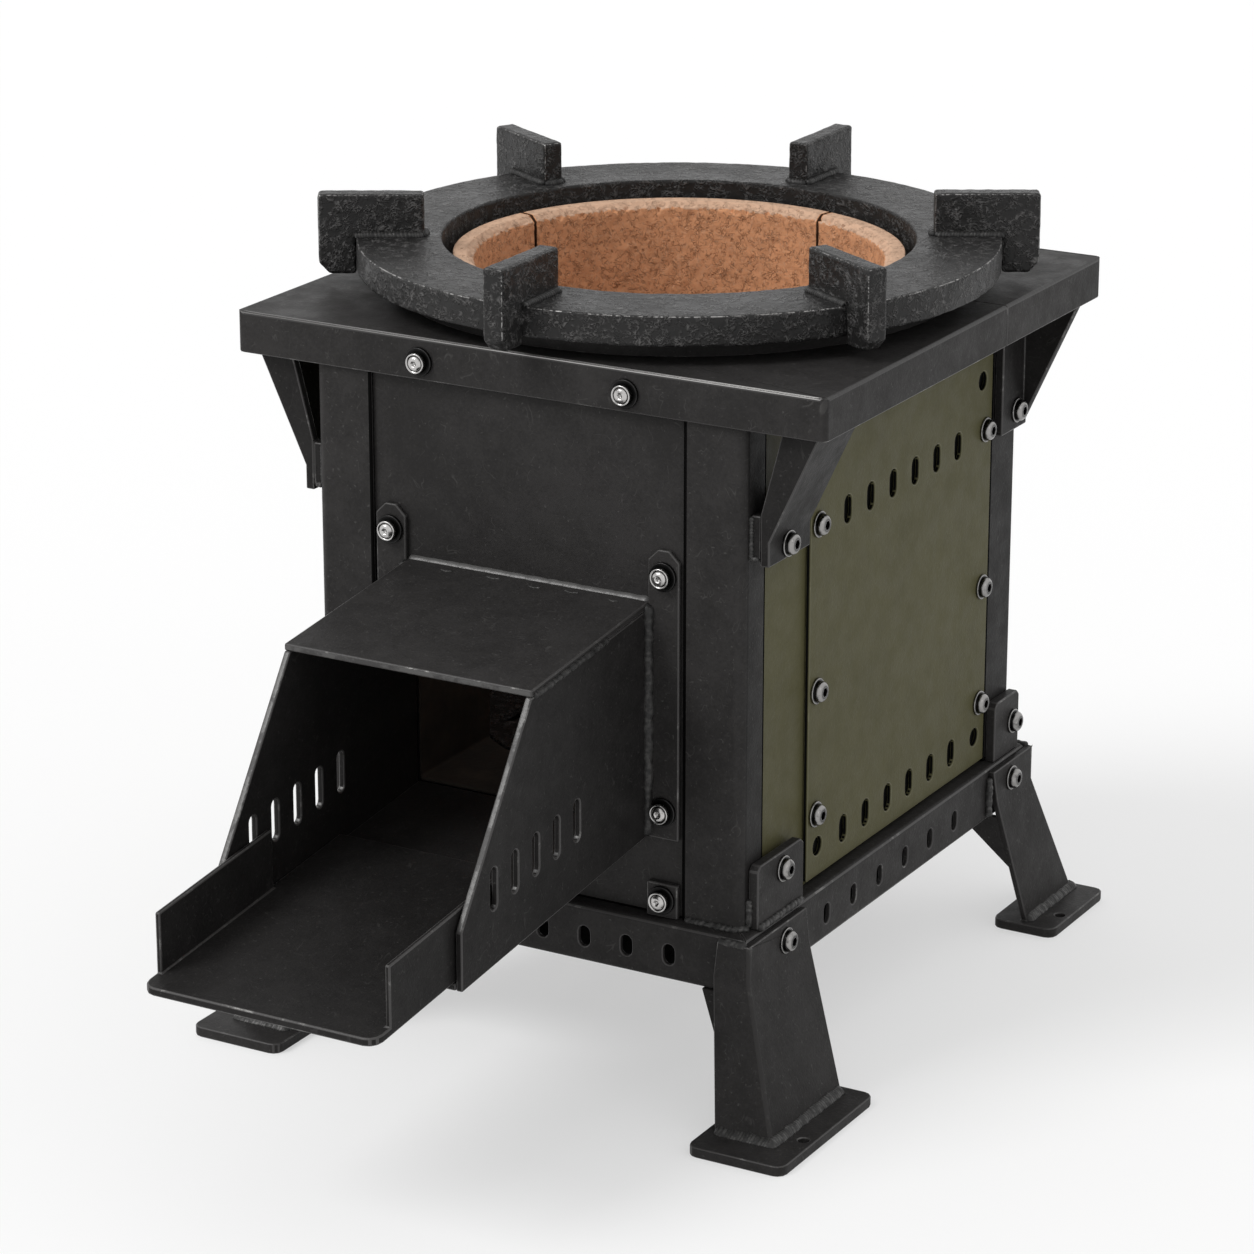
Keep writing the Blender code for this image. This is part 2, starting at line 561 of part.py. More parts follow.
def base_frame(stove):
    """Four mitred channel rails with vent slots, and the hearth plate on their upper flanges."""
    lower_bend = (BASE_RIM_RADIUS, BASE_BOTTOM + BASE_RIM_RADIUS)
    upper_bend = (BASE_RIM_RADIUS, BASE_TOP - BASE_RIM_RADIUS)
    profile = arc(lower_bend, BASE_RIM_RADIUS, -math.pi / 2, -math.pi, ARC_STEPS)
    profile += arc(upper_bend, BASE_RIM_RADIUS, math.pi, math.pi / 2, ARC_STEPS)
    profile += [(BASE_FLANGE, BASE_TOP), (BASE_FLANGE, BASE_TOP - BASE_SHEET)]
    profile += [(BASE_SHEET, BASE_TOP - BASE_SHEET), (BASE_SHEET, BASE_BOTTOM + BASE_SHEET)]
    profile += [(BASE_RETURN, BASE_BOTTOM + BASE_SHEET), (BASE_RETURN, BASE_BOTTOM)]
    slot_height = (BASE_BOTTOM + BASE_TOP - BASE_SHEET) / 2
    for name, turn, along, across, pitch, count in (
        ("front", 0, BASE_HALF_X, BASE_HALF_Y, FRONT_SLOT_PITCH, FRONT_SLOT_COUNT),
        ("right", 1, BASE_HALF_Y, BASE_HALF_X, SIDE_SLOT_PITCH, SIDE_SLOT_COUNT),
        ("rear", 2, BASE_HALF_X, BASE_HALF_Y, FRONT_SLOT_PITCH, FRONT_SLOT_COUNT),
        ("left", 3, BASE_HALF_Y, BASE_HALF_X, SIDE_SLOT_PITCH, SIDE_SLOT_COUNT),
    ):
        facing = Matrix.Rotation(turn * math.pi / 2, 4, "Z")
        bm = bmesh.new()
        loops = []
        for sign in (-1, 1):
            ends = [Vector((sign * (along - SEAM / 2 - inset), inset - across, z)) for inset, z in profile]
            loops.append([bm.verts.new(facing @ end) for end in ends])
        bridge(bm, loops)
        rail = build(f"base_rail_{name}", bm, stove.black, stove.frame)
        bm = bmesh.new()
        for place in row(count, pitch):
            outline = slot((place, slot_height), BASE_SLOT_WIDTH, BASE_SLOT_HEIGHT)
            add_prism(bm, outline, -across - BASE_SHEET, -across + 2 * BASE_SHEET, facing @ ALONG_Y)
        if name in ("left", "right"):
            way = 1 if name == "right" else -1
            for y in leg_bolt_places():
                outline = circle((way * y, leg_bolt_height()), bolt_hole_radius(), BOLT_STEPS)
                add_prism(bm, outline, -across - BASE_SHEET, -across + 2 * BASE_SHEET, facing @ ALONG_Y)
        combine(rail, bm, "DIFFERENCE")

    half_x = PANEL_FACE_X - PANEL_SHEET - GAP
    half_y = PANEL_FACE_Y - PANEL_SHEET - GAP
    outline = rounded_rectangle((-half_x, -half_y), (half_x, half_y), POST_SHEET + POST_BEND_RADIUS)
    bm = bmesh.new()
    add_prism(bm, outline, BODY_FLOOR, BODY_FLOOR + HEARTH_SHEET)
    hearth = build("hearth_plate", bm, stove.black, stove.frame)
    bm = bmesh.new()
    for x in row(HEARTH_SLOT_COUNT, HEARTH_SLOT_PITCH):
        outline = slot((x, 0.0), HEARTH_SLOT_WIDTH, HEARTH_SLOT_LENGTH)
        add_prism(bm, outline, BODY_FLOOR - HEARTH_SHEET, BODY_FLOOR + 2 * HEARTH_SHEET)
    combine(hearth, bm, "DIFFERENCE")


def leg_bolt_places():
    """Places along Y of the front and rear leg bolts."""
    edge = LEG_CORNER_Y + LEG_BOLT_FROM_EDGE
    return FRONT_LEG_SIDE_TOP - edge, edge - REAR_LEG_SIDE_TOP


def leg_bolt_height():
    """Height of the leg bolts."""
    return BASE_TOP - LEG_BOLT_DROP


def leg_sections():
    """Corner, height and the widths of both flanges, at the top, the bend and the foot of each end's legs."""
    corner, top = (LEG_CORNER_X, LEG_CORNER_Y), BASE_TOP - LEG_TOP_DROP
    bend, low = BASE_TOP - LEG_BEND_DROP, FOOT_SHEET / 2
    front_foot = (LEG_CORNER_X + FRONT_LEG_SPLAY_X, LEG_CORNER_Y + FRONT_LEG_SPLAY_Y)
    rear_foot = (LEG_CORNER_X + REAR_LEG_SPLAY_X, LEG_CORNER_Y + REAR_LEG_SPLAY_Y)
    return {
        "front": (
            (corner, top, FRONT_LEG_SIDE_TOP, FRONT_LEG_FLANGE_TOP),
            (corner, bend, FRONT_LEG_SIDE_BEND, FRONT_LEG_FLANGE_BEND),
            (front_foot, low, FRONT_LEG_SIDE_FOOT, FRONT_LEG_FLANGE_FOOT),
        ),
        "rear": (
            (corner, top, REAR_LEG_SIDE_TOP, REAR_LEG_FLANGE_TOP),
            (corner, bend, REAR_LEG_SIDE_BEND, REAR_LEG_FLANGE_BEND),
            (rear_foot, low, REAR_LEG_SIDE_FOOT, REAR_LEG_FLANGE_FOOT),
        ),
    }


def legs(stove):
    """Four folded legs, splayed below their bolts, each welded to a foot plate with one hole."""
    feet = {
        "front": (-1, FRONT_FOOT_MARGIN_X, FRONT_FOOT_MARGIN_Y, FRONT_FOOT_HOLE_SETBACK),
        "rear": (1, REAR_FOOT_MARGIN_X, REAR_FOOT_MARGIN_Y, REAR_FOOT_HOLE_SETBACK),
    }
    for (end, sections), bolt_y in zip(leg_sections().items(), leg_bolt_places()):
        sign_y, margin_x, margin_y, setback = feet[end]
        (foot_x, foot_y), _, side_foot, flange_foot = sections[-1]
        foot_low = (foot_x - flange_foot - FOOT_INNER_MARGIN, foot_y - side_foot - FOOT_INNER_MARGIN)
        foot_high = (foot_x + margin_x, foot_y + margin_y)
        plate = rounded_rectangle(foot_low, foot_high, FOOT_CORNER_RADIUS)
        hole_x, hole_y = foot_high[0] - FOOT_HOLE_INSET, sign_y * (foot_high[1] - setback)
        for side, sign_x in (("left", -1), ("right", 1)):
            bm = bmesh.new()
            loops = []
            for (x, y), z, side_width, flange_width in sections:
                inner_x, inner_y = x - LEG_SHEET, y - LEG_SHEET
                outline = [(x, y), (x, y - side_width), (inner_x, y - side_width)]
                outline += [(inner_x, inner_y), (x - flange_width, inner_y), (x - flange_width, y)]
                loops.append([bm.verts.new((sign_x * px, sign_y * py, z)) for px, py in outline])
            bridge(bm, loops)
            leg = build(f"leg_{end}_{side}", bm, stove.black, stove.frame)
            bm = bmesh.new()
            add_prism(bm, [(sign_x * px, sign_y * py) for px, py in plate], 0.0, FOOT_SHEET)
            combine(leg, bm, "UNION")
            bm = bmesh.new()
            outline = circle((sign_x * hole_x, hole_y), FOOT_HOLE_RADIUS, BOLT_STEPS)
            add_prism(bm, outline, -FOOT_SHEET, 2 * FOOT_SHEET)
            bolt = circle((bolt_y, leg_bolt_height()), bolt_hole_radius(), BOLT_STEPS)
            add_prism(bm, bolt, sign_x * BASE_HALF_X, sign_x * (LEG_CORNER_X + LEG_SHEET), ALONG_X)
            combine(leg, bm, "DIFFERENCE")


def strut_outlines():
    """(x, z) outlines of a front bracket's bent plate, and of the tapered lip along its outer edge."""
    heel = BODY_FACE_X + BRACKET_TAB
    face = heel + BRACKET_SHEET
    slant = math.atan2(BRACKET_STRUT_RISE, BRACKET_TIP - face)
    upright_share = BRACKET_SHEET / math.cos(slant) - BRACKET_SHEET * math.tan(slant)
    outer = [(heel, STRUT_FOOT), (face, STRUT_FOOT), (face, BRACKET_FOOT_TOP)]
    outer += [(BRACKET_TIP, BRACKET_KNEE), (BRACKET_TIP, BODY_CEILING)]
    inner_tip = BRACKET_TIP - BRACKET_SHEET
    plate = outer + [(inner_tip, BODY_CEILING), (inner_tip, BRACKET_KNEE + upright_share)]
    plate += [(heel, BRACKET_FOOT_TOP + upright_share)]
    lip = outer + [(BRACKET_TIP - BRACKET_LIP_TOP, BODY_CEILING), (heel, BRACKET_FOOT_TOP + BRACKET_LIP_RISE)]
    return plate, lip


def gusset_outlines():
    """(x, z) outlines of a rear bracket's upright, and of the gusset along its outer edge."""
    face = BODY_FACE_X + BRACKET_SHEET
    upright = rectangle((BODY_FACE_X, GUSSET_FOOT), (face, BODY_CEILING))
    gusset = [(BODY_FACE_X, GUSSET_FOOT), (face, GUSSET_FOOT)]
    gusset += [(face, GUSSET_FOOT + GUSSET_TOE), (BRACKET_TIP, BRACKET_KNEE)]
    gusset += [(BRACKET_TIP, BODY_CEILING), (BODY_FACE_X, BODY_CEILING)]
    return upright, gusset


def brackets(stove):
    """Brackets that carry the overhang: lipped struts on tabs in front, gusseted uprights at the rear."""
    plate, lip = strut_outlines()
    upright, gusset = gusset_outlines()
    tab_bottom = STRUT_FOOT + BRACKET_TAB_RISE
    tab_end = BODY_FACE_X + BRACKET_TAB + BRACKET_SHEET / 2
    tab = rectangle((BODY_FACE_X, tab_bottom), (tab_end, tab_bottom + BRACKET_TAB_HEIGHT))
    front = -BODY_HALF_Y + FRONT_BRACKET_SETBACK
    back = front + FRONT_BRACKET_WIDTH
    layers = {
        "front": [
            (plate, front, back),
            (lip, front, front + BRACKET_SHEET),
            (tab, front + BRACKET_TAB_SETBACK, back - BRACKET_TAB_SETBACK),
        ],
        "rear": [
            (upright, BODY_HALF_Y - REAR_BRACKET_WIDTH, BODY_HALF_Y),
            (gusset, BODY_HALF_Y - BRACKET_SHEET, BODY_HALF_Y),
        ],
    }
    for end, prisms in layers.items():
        for side, sign in (("left", -1), ("right", 1)):
            bracket = None
            for outline, start, stop in prisms:
                bm = bmesh.new()
                add_prism(bm, mirrored(outline, sign), start, stop, ALONG_Y)
                if bracket is None:
                    bracket = build(f"bracket_{end}_{side}", bm, stove.black, stove.frame)
                else:
                    combine(bracket, bm, "UNION")


def corner_clips(stove):
    """Thick clips from the body's foot down to the base frame, with chamfered upper corners."""
    front_outer = -BODY_HALF_Y + FRONT_CLIP_SETBACK
    spans = {
        "front": (front_outer, front_outer + FRONT_CLIP_LENGTH),
        "rear": (BODY_HALF_Y, BODY_HALF_Y - REAR_CLIP_LENGTH),
    }
    top = BODY_FLOOR + CLIP_HEIGHT
    for end, (outer, inner) in spans.items():
        cut = math.copysign(CLIP_CHAMFER, inner - outer)
        shoulder = top - CLIP_CHAMFER
        outline = [(outer, BODY_FLOOR), (inner, BODY_FLOOR), (inner, shoulder), (inner - cut, top)]
        outline += [(outer + cut, top), (outer, shoulder)]
        for side, sign in (("left", -1), ("right", 1)):
            bm = bmesh.new()
            add_prism(bm, outline, sign * BODY_FACE_X, sign * (BODY_FACE_X + CLIP_SHEET), ALONG_X)
            build(f"corner_clip_{end}_{side}", bm, stove.black, stove.frame)


def sloping(front, back, low, high):
    """(y, z) outline between two places along the chute and two heights above its sloping underside."""
    return [(y, chute_bottom(y) + h) for y, h in ((front, low), (back, low), (back, high), (front, high))]


def feed_chute(stove):
    """Sloping chute of four plates, welded to flange strips on the front panel, and the lower clips."""
    half = CHUTE_WIDTH / 2
    inner = half - CHUTE_SHEET
    nose = CHUTE_BACK - CHEEK_LENGTH
    brow = CHUTE_BACK - ROOF_LENGTH
    cheek_top = CHUTE_HEIGHT - CHUTE_SHEET - GAP
    cheek = [(CHUTE_BACK, chute_bottom(CHUTE_BACK)), (nose, chute_bottom(nose))]
    cheek += [(nose, chute_bottom(nose) + CHEEK_NOSE), (brow, chute_bottom(brow) + cheek_top)]
    cheek += [(CHUTE_BACK, chute_bottom(CHUTE_BACK) + cheek_top)]
    first_slot = nose + CHEEK_SLOT_FRONT
    for side, sign in (("left", -1), ("right", 1)):
        bm = bmesh.new()
        add_prism(bm, cheek, sign * inner, sign * half, ALONG_X)
        plate = build(f"chute_cheek_{side}", bm, stove.black, stove.frame)
        bm = bmesh.new()
        for index in range(CHEEK_SLOT_COUNT):
            y = first_slot + index * CHEEK_SLOT_PITCH
            outline = slot((y, chute_bottom(y) + CHEEK_SLOT_RISE), CHEEK_SLOT_WIDTH, CHEEK_SLOT_HEIGHT)
            add_prism(bm, outline, sign * (inner - CHUTE_SHEET), sign * (half + CHUTE_SHEET), ALONG_X)
        combine(plate, bm, "DIFFERENCE")

        strip_low, strip_high = half + GAP, BODY_HALF_X - POST_WIDE_FLANGE - STRIP_MARGIN
        strip_top = CHUTE_BOTTOM + CHUTE_HEIGHT + STRIP_ABOVE_ROOF
        chamfer = min(STRIP_CHAMFER, (strip_high - strip_low) / 3)
        strip = [(strip_low, CHUTE_BOTTOM), (strip_high, CHUTE_BOTTOM), (strip_high, strip_top - chamfer)]
        strip += [(strip_high - chamfer, strip_top), (strip_low + chamfer, strip_top)]
        strip += [(strip_low, strip_top - chamfer)]
        bm = bmesh.new()
        add_prism(bm, mirrored(strip, sign), CHUTE_BACK - STRIP_SHEET, CHUTE_BACK, ALONG_Y)
        build(f"chute_flange_{side}", bm, stove.black, stove.frame)
        clip = rectangle((strip_low, BODY_FLOOR), (strip_high, BODY_FLOOR + LOWER_CLIP_HEIGHT))
        bm = bmesh.new()
        add_prism(bm, mirrored(clip, sign), CHUTE_BACK - LOWER_CLIP_SHEET, CHUTE_BACK, ALONG_Y)
        build(f"lower_clip_{side}", bm, stove.black, stove.frame)

    bm = bmesh.new()
    add_prism(bm, sloping(brow, CHUTE_BACK, CHUTE_HEIGHT - CHUTE_SHEET, CHUTE_HEIGHT), -half, half, ALONG_X)
    build("chute_roof", bm, stove.black, stove.frame)
    bm = bmesh.new()
    add_prism(bm, sloping(nose, CHUTE_BACK, 0.0, CHUTE_SHEET), -inner + GAP, inner - GAP, ALONG_X)
    build("chute_floor", bm, stove.black, stove.frame)


def feed_tray(stove):
    """Sliding tray: a sloping floor with round front corners and two low side walls."""
    half = CHUTE_WIDTH / 2 - CHUTE_SHEET - TRAY_SIDE_CLEARANCE
    rear = TRAY_FRONT + TRAY_LENGTH
    front_left = arc((TRAY_CORNER_RADIUS - half, TRAY_FRONT + TRAY_CORNER_RADIUS), TRAY_CORNER_RADIUS,
                     math.pi, 1.5 * math.pi, ARC_STEPS)
    outline = front_left + [(-x, y) for x, y in reversed(front_left)] + [(half, rear), (-half, rear)]
    bm = bmesh.new()
    loops = []
    for lift in (0.0, TRAY_SHEET):
        loops.append([bm.verts.new((x, y, tray_underside(y) + lift)) for x, y in outline])
    bridge(bm, loops)
    tray = build("feed_tray", bm, stove.black, stove.tray_axis)
    wall_front = TRAY_FRONT + TRAY_WALL_SETBACK
    wall_rear = wall_front + TRAY_WALL_LENGTH
    base = TRAY_FLOOR_CLEARANCE + CHUTE_SHEET
    wall = sloping(wall_front, wall_rear, base + TRAY_SHEET / 2, base + TRAY_WALL_HEIGHT)
    bm = bmesh.new()
    for sign in (-1, 1):
        add_prism(bm, wall, sign * (half - TRAY_WALL), sign * half, ALONG_X)
    combine(tray, bm, "UNION")


def fire_lining(stove):
    """Castable burn chamber with the feed throat, grate, riser bricks, and the insulation round them."""
    half_x = PANEL_FACE_X - PANEL_SHEET - GAP
    half_y = PANEL_FACE_Y - PANEL_SHEET - GAP
    corner = POST_SHEET + POST_BEND_RADIUS
    block = rounded_rectangle((-half_x, -half_y), (half_x, half_y), corner)
    chamber_floor = BODY_FLOOR + HEARTH_SHEET + GAP
    bm = bmesh.new()
    add_prism(bm, block, chamber_floor, CHAMBER_TOP)
    chamber = build("burn_chamber", bm, stove.castable, stove.frame)
    pit_radius = BORE_RADIUS - GRATE_LEDGE
    bore = [(pit_radius, BODY_FLOOR - HEARTH_SHEET), (pit_radius, GRATE_HEIGHT), (BORE_RADIUS, GRATE_HEIGHT)]
    bore += [(BORE_RADIUS, CHAMBER_TOP + BRICK_CHAMFER)]
    bm = bmesh.new()
    loops = []
    for radius, z in bore:
        loops.append([bm.verts.new((x, y, z)) for x, y in circle((0.0, 0.0), radius, ROUND_STEPS)])
    bridge(bm, loops)
    combine(chamber, bm, "DIFFERENCE")
    half_mouth = CHUTE_WIDTH / 2 - CHUTE_SHEET
    throat = rectangle((-half_mouth, THROAT_FLOOR), (half_mouth, CHUTE_LINTEL))
    bm = bmesh.new()
    add_prism(bm, throat, -BODY_HALF_Y, 0.0, ALONG_Y)
    combine(chamber, bm, "DIFFERENCE")

    grate_radius = BORE_RADIUS - COLLAR_CLEARANCE
    low = GRATE_HEIGHT + GAP
    bm = bmesh.new()
    add_prism(bm, circle((0.0, 0.0), grate_radius, ROUND_STEPS), low, low + GRATE_SHEET)
    grate = build("fire_grate", bm, stove.iron, stove.frame)
    bm = bmesh.new()
    for x in row(GRATE_SLOT_COUNT, GRATE_SLOT_PITCH):
        length = 2 * math.sqrt(max((grate_radius - GRATE_RIM) ** 2 - x * x, GRATE_SLOT_WIDTH ** 2))
        add_prism(bm, slot((x, 0.0), GRATE_SLOT_WIDTH, length), low - GRATE_SHEET, low + 2 * GRATE_SHEET)
    combine(grate, bm, "DIFFERENCE")

    bottom = CHAMBER_TOP + GAP
    profile = [(BORE_RADIUS, bottom), (BRICK_RADIUS, bottom), (BRICK_RADIUS, BRICK_TOP)]
    profile += [(BORE_RADIUS + BRICK_CHAMFER, BRICK_TOP), (BORE_RADIUS, BRICK_TOP - BRICK_CHAMFER)]
    span = math.tau / BRICK_COUNT
    joint = BRICK_JOINT / BORE_RADIUS
    for index in range(BRICK_COUNT):
        start = BRICK_TURN + index * span
        bm = bmesh.new()
        add_ring(bm, profile, ROUND_STEPS // BRICK_COUNT, start + joint / 2, start + span - joint / 2)
        build(f"riser_brick_{index + 1}", bm, stove.brick, stove.frame)

    bm = bmesh.new()
    add_prism(bm, block, bottom, BODY_CEILING)
    fill = build("insulation_fill", bm, stove.wool, stove.frame)
    bm = bmesh.new()
    hole = circle((0.0, 0.0), BRICK_RADIUS + GAP, ROUND_STEPS)
    add_prism(bm, hole, bottom - BRICK_CHAMFER, BODY_CEILING + BRICK_CHAMFER)
    combine(fill, bm, "DIFFERENCE")


def add_bolt(stove, name, place, facing, grip):
    """A button-head bolt with its washer. The facing matrix turns +Z to the way the head looks."""
    dome_start = WASHER_SHEET + BOLT_HEAD_HEIGHT / 4
    top = WASHER_SHEET + BOLT_HEAD_HEIGHT
    profile = [(BOLT_RADIUS, -grip), (BOLT_RADIUS, GAP), (WASHER_RADIUS, GAP), (WASHER_RADIUS, WASHER_SHEET)]
    profile += [(BOLT_HEAD_RADIUS, WASHER_SHEET), (BOLT_HEAD_RADIUS, dome_start), (BOLT_DOME_RADIUS, top)]
    bm = bmesh.new()
    loops = []
    for radius, z in profile:
        loops.append([bm.verts.new((x, y, z)) for x, y in circle((0.0, 0.0), radius, BOLT_STEPS)])
    bridge(bm, loops)
    bmesh.ops.transform(bm, verts=bm.verts, matrix=Matrix.Translation(place) @ facing)
    build(name, bm, stove.bright, stove.frame)


def bolts(stove):
    """The bolts that carry the legs and hold the front skirt."""
    forward = Matrix.Rotation(math.pi / 2, 4, "X")
    skirt_grip = TOP_DEPTH / 2 - PANEL_FACE_Y + PANEL_SHEET
    for side, x in zip(("left", "right"), row(2, SKIRT_BOLT_SPACING)):
        add_bolt(stove, f"skirt_bolt_{side}", (x, -TOP_DEPTH / 2, skirt_bolt_height()), forward, skirt_grip)
    for side, sign in (("left", -1), ("right", 1)):
        sideways = Matrix.Rotation(sign * math.pi / 2, 4, "Y")
        for end, y in zip(("front", "rear"), leg_bolt_places()):
            place = (sign * LEG_CORNER_X, y, leg_bolt_height())
            add_bolt(stove, f"leg_bolt_{end}_{side}", place, sideways, LEG_BOLT_GRIP)


def main():
    """Build the stove."""
    clear_scene()
    stove = Stove()
    top_plates(stove)
    pot_support(stove)
    corner_posts(stove)
    body_panels(stove)
    base_frame(stove)
    legs(stove)
    brackets(stove)
    corner_clips(stove)
    feed_chute(stove)
    feed_tray(stove)
    fire_lining(stove)
    bolts(stove)


main()
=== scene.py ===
"""Looks of the rocket stove: eased plates, castings, firebricks, welds, bolts and finishes.

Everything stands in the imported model's frame, in metres. Sizes that are given "from the axis" are
measured from the stove's upright axis, which runs through the middle of the pot ring.
"""

import logging
import math
from collections.abc import Sequence
from dataclasses import dataclass, field
from enum import Enum

import bmesh
import bpy
import numpy as np
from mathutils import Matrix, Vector


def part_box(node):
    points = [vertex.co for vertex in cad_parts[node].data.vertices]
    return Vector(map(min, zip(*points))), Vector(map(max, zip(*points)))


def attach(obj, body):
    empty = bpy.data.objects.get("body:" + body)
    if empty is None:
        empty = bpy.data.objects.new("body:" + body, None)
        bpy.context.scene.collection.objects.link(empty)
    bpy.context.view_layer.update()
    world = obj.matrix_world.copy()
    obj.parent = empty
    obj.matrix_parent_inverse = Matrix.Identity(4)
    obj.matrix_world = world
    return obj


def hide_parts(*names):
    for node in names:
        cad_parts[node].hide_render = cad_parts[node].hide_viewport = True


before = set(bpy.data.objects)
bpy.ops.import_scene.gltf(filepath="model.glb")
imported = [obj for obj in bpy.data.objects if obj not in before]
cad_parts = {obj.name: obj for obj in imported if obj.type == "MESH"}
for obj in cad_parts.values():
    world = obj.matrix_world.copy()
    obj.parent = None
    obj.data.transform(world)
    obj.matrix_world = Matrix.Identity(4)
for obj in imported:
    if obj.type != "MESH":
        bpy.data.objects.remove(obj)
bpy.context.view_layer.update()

LOG = logging.getLogger("stove")
Colour = tuple[float, float, float]
Point = tuple[float, float, float]
Socket = bpy.types.NodeSocket
Piece = bpy.types.Object

STOVE, POT_RING, FEED_TRAY = "stove", "pot_ring", "feed_tray"
MARK = "mark"
MERGE = 1e-6
WAVES = 24
UP = np.array((0.0, 0.0, 1.0))
AXIS = np.array([(low + high) / 2 for low, high in zip(*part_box("pot_ring"))]) * (1, 1, 0)
SIDES = (("left", -1), ("right", 1))
ENDS = (("front", -1), ("rear", 1))


# Shapes


def smooth_noise(points: np.ndarray, size: float, seed: int) -> np.ndarray:
    """Random field without grain: the mean of plane waves of random direction, length and phase.

    Args:
        points: Places, shape (..., 3).
        size: Usual length of a wave.
        seed: Seed of the waves.

    Returns:
        Values of about -1 to 1, one for each place.
    """
    draw = np.random.default_rng(seed)
    waves = draw.normal(size=(3, WAVES))
    waves *= draw.uniform(0.6, 1.4, WAVES) * math.tau / size / np.linalg.norm(waves, axis=0)
    phases = draw.uniform(0, math.tau, WAVES)
    return np.sin(points @ waves + phases).sum(-1) / math.sqrt(2 * WAVES)


def eased_outline(corners: Sequence[tuple[float, float]], radius: float, steps: int = 7) -> np.ndarray:
    """Closed outline whose corners are parabolas from one straight run to the next.

    Each corner C becomes (1-t)^2 A + 2t(1-t) C + t^2 B, with A and B on its two runs.

    Args:
        corners: Corners of the outline, in order.
        radius: Distance of A and B from the corner.
        steps: Points on each corner.

    Returns:
        Points, shape (corners * steps, 2).
    """
    middle = np.array(corners, float)[:, None]
    before, after = np.roll(middle, 1, 0), np.roll(middle, -1, 0)
    start = middle + radius * (before - middle) / np.linalg.norm(before - middle, axis=2, keepdims=True)
    end = middle + radius * (after - middle) / np.linalg.norm(after - middle, axis=2, keepdims=True)
    t = np.linspace(0, 1, steps)[None, :, None]
    return ((1 - t) ** 2 * start + 2 * t * (1 - t) * middle + t**2 * end).reshape(-1, 2)


def even_points(path: np.ndarray, spacing: float, closed: bool = False) -> np.ndarray:
    """Points at even distances along a path of straight runs.

    Args:
        path: Corners of the path, shape (n, any).
        spacing: Distance wanted between points.
        closed: Whether the path comes back to its start, which is then not repeated.

    Returns:
        The points, shape (m, any).
    """
    run = np.vstack((path, path[:1])) if closed else np.asarray(path, float)
    lengths = np.concatenate(([0], np.cumsum(np.linalg.norm(np.diff(run, axis=0), axis=1))))
    count = max(2, round(lengths[-1] / spacing))
    stops = np.linspace(0, lengths[-1], count + 1)[: count if closed else None]
    return np.stack([np.interp(stops, lengths, column) for column in run.T], -1)


def turned(profile: np.ndarray, angles: np.ndarray) -> np.ndarray:
    """Profile turned about the axis: x = r cos a, y = r sin a, z = h.

    Args:
        profile: Radius and height of each point, shape (n, 2).
        angles: Angles in radians, counter-clockwise from +X.

    Returns:
        Grid of places, shape (angles, n, 3).
    """
    radius, height = profile.T
    return AXIS + np.stack(
        (
            np.cos(angles)[:, None] * radius,
            np.sin(angles)[:, None] * radius,
            np.broadcast_to(height, (len(angles), len(height))),
        ),
        -1,
    )


@dataclass
class Draft:
    """A mesh on the way: grids of places, joined where they meet."""

    places: list[np.ndarray] = field(default_factory=list)
    marks: list[np.ndarray] = field(default_factory=list)
    quads: list[np.ndarray] = field(default_factory=list)

    def grid(self, places: np.ndarray, mark: np.ndarray | float = 0.0,
             round_rows: bool = False, round_columns: bool = False) -> None:
        """Adds a sheet of quads over a grid.

        Args:
            places: Grid of places, shape (rows, columns, 3).
            mark: Value kept for the material at each place.
            round_rows: Whether the last row joins the first.
            round_columns: Whether the last column joins the first.
        """
        rows, columns = places.shape[:2]
        index = np.arange(rows * columns).reshape(rows, columns) + sum(map(len, self.places))
        index = np.vstack((index, index[:1])) if round_rows else index
        index = np.hstack((index, index[:, :1])) if round_columns else index
        corners = (index[:-1, :-1], index[1:, :-1], index[1:, 1:], index[:-1, 1:])
        self.places.append(places.reshape(-1, 3))
        self.marks.append(np.broadcast_to(mark, (rows, columns)).ravel())
        self.quads.append(np.stack(corners, -1).reshape(-1, 4))

    def cap(self, loop: np.ndarray, mark: float = 0.0) -> None:
        """Closes a loop of places with a fan about its middle."""
        self.grid(np.stack((loop, np.broadcast_to(loop.mean(0), loop.shape))), mark, round_columns=True)

    def finish(self, name: str) -> Piece:
        """Joins the grids into one closed, smooth mesh whose faces point outwards.

        Args:
            name: Name of the piece.

        Returns:
            The piece.
        """
        mesh = bpy.data.meshes.new(name)
        mesh.from_pydata(np.vstack(self.places).tolist(), [], np.vstack(self.quads).tolist())
        values = np.concatenate(self.marks).astype(np.float32)
        mesh.attributes.new(MARK, "FLOAT", "POINT").data.foreach_set("value", values)
        work = bmesh.new()
        work.from_mesh(mesh)
        bmesh.ops.remove_doubles(work, verts=work.verts, dist=MERGE)
        bmesh.ops.dissolve_degenerate(work, edges=work.edges, dist=MERGE)
        bmesh.ops.recalc_face_normals(work, faces=work.faces)
        work.to_mesh(mesh)
        work.free()
        return new_piece(name, mesh)


def new_piece(name: str, mesh: bpy.types.Mesh) -> Piece:
    """Smooth-shaded object at the origin, linked to the scene.

    Args:
        name: Name of the object.
        mesh: Mesh that it shows.

    Returns:
        The object.
    """
    mesh.shade_smooth()
    piece = bpy.data.objects.new(name, mesh)
    bpy.context.scene.collection.objects.link(piece)
    return piece


def places_of(mesh: bpy.types.Mesh) -> np.ndarray:
    """Places of a mesh's vertices, shape (n, 3).

    Args:
        mesh: Mesh to read.

    Returns:
        One row per vertex.
    """
    places = np.empty(len(mesh.vertices) * 3)
    mesh.vertices.foreach_get("co", places)
    return places.reshape(-1, 3)


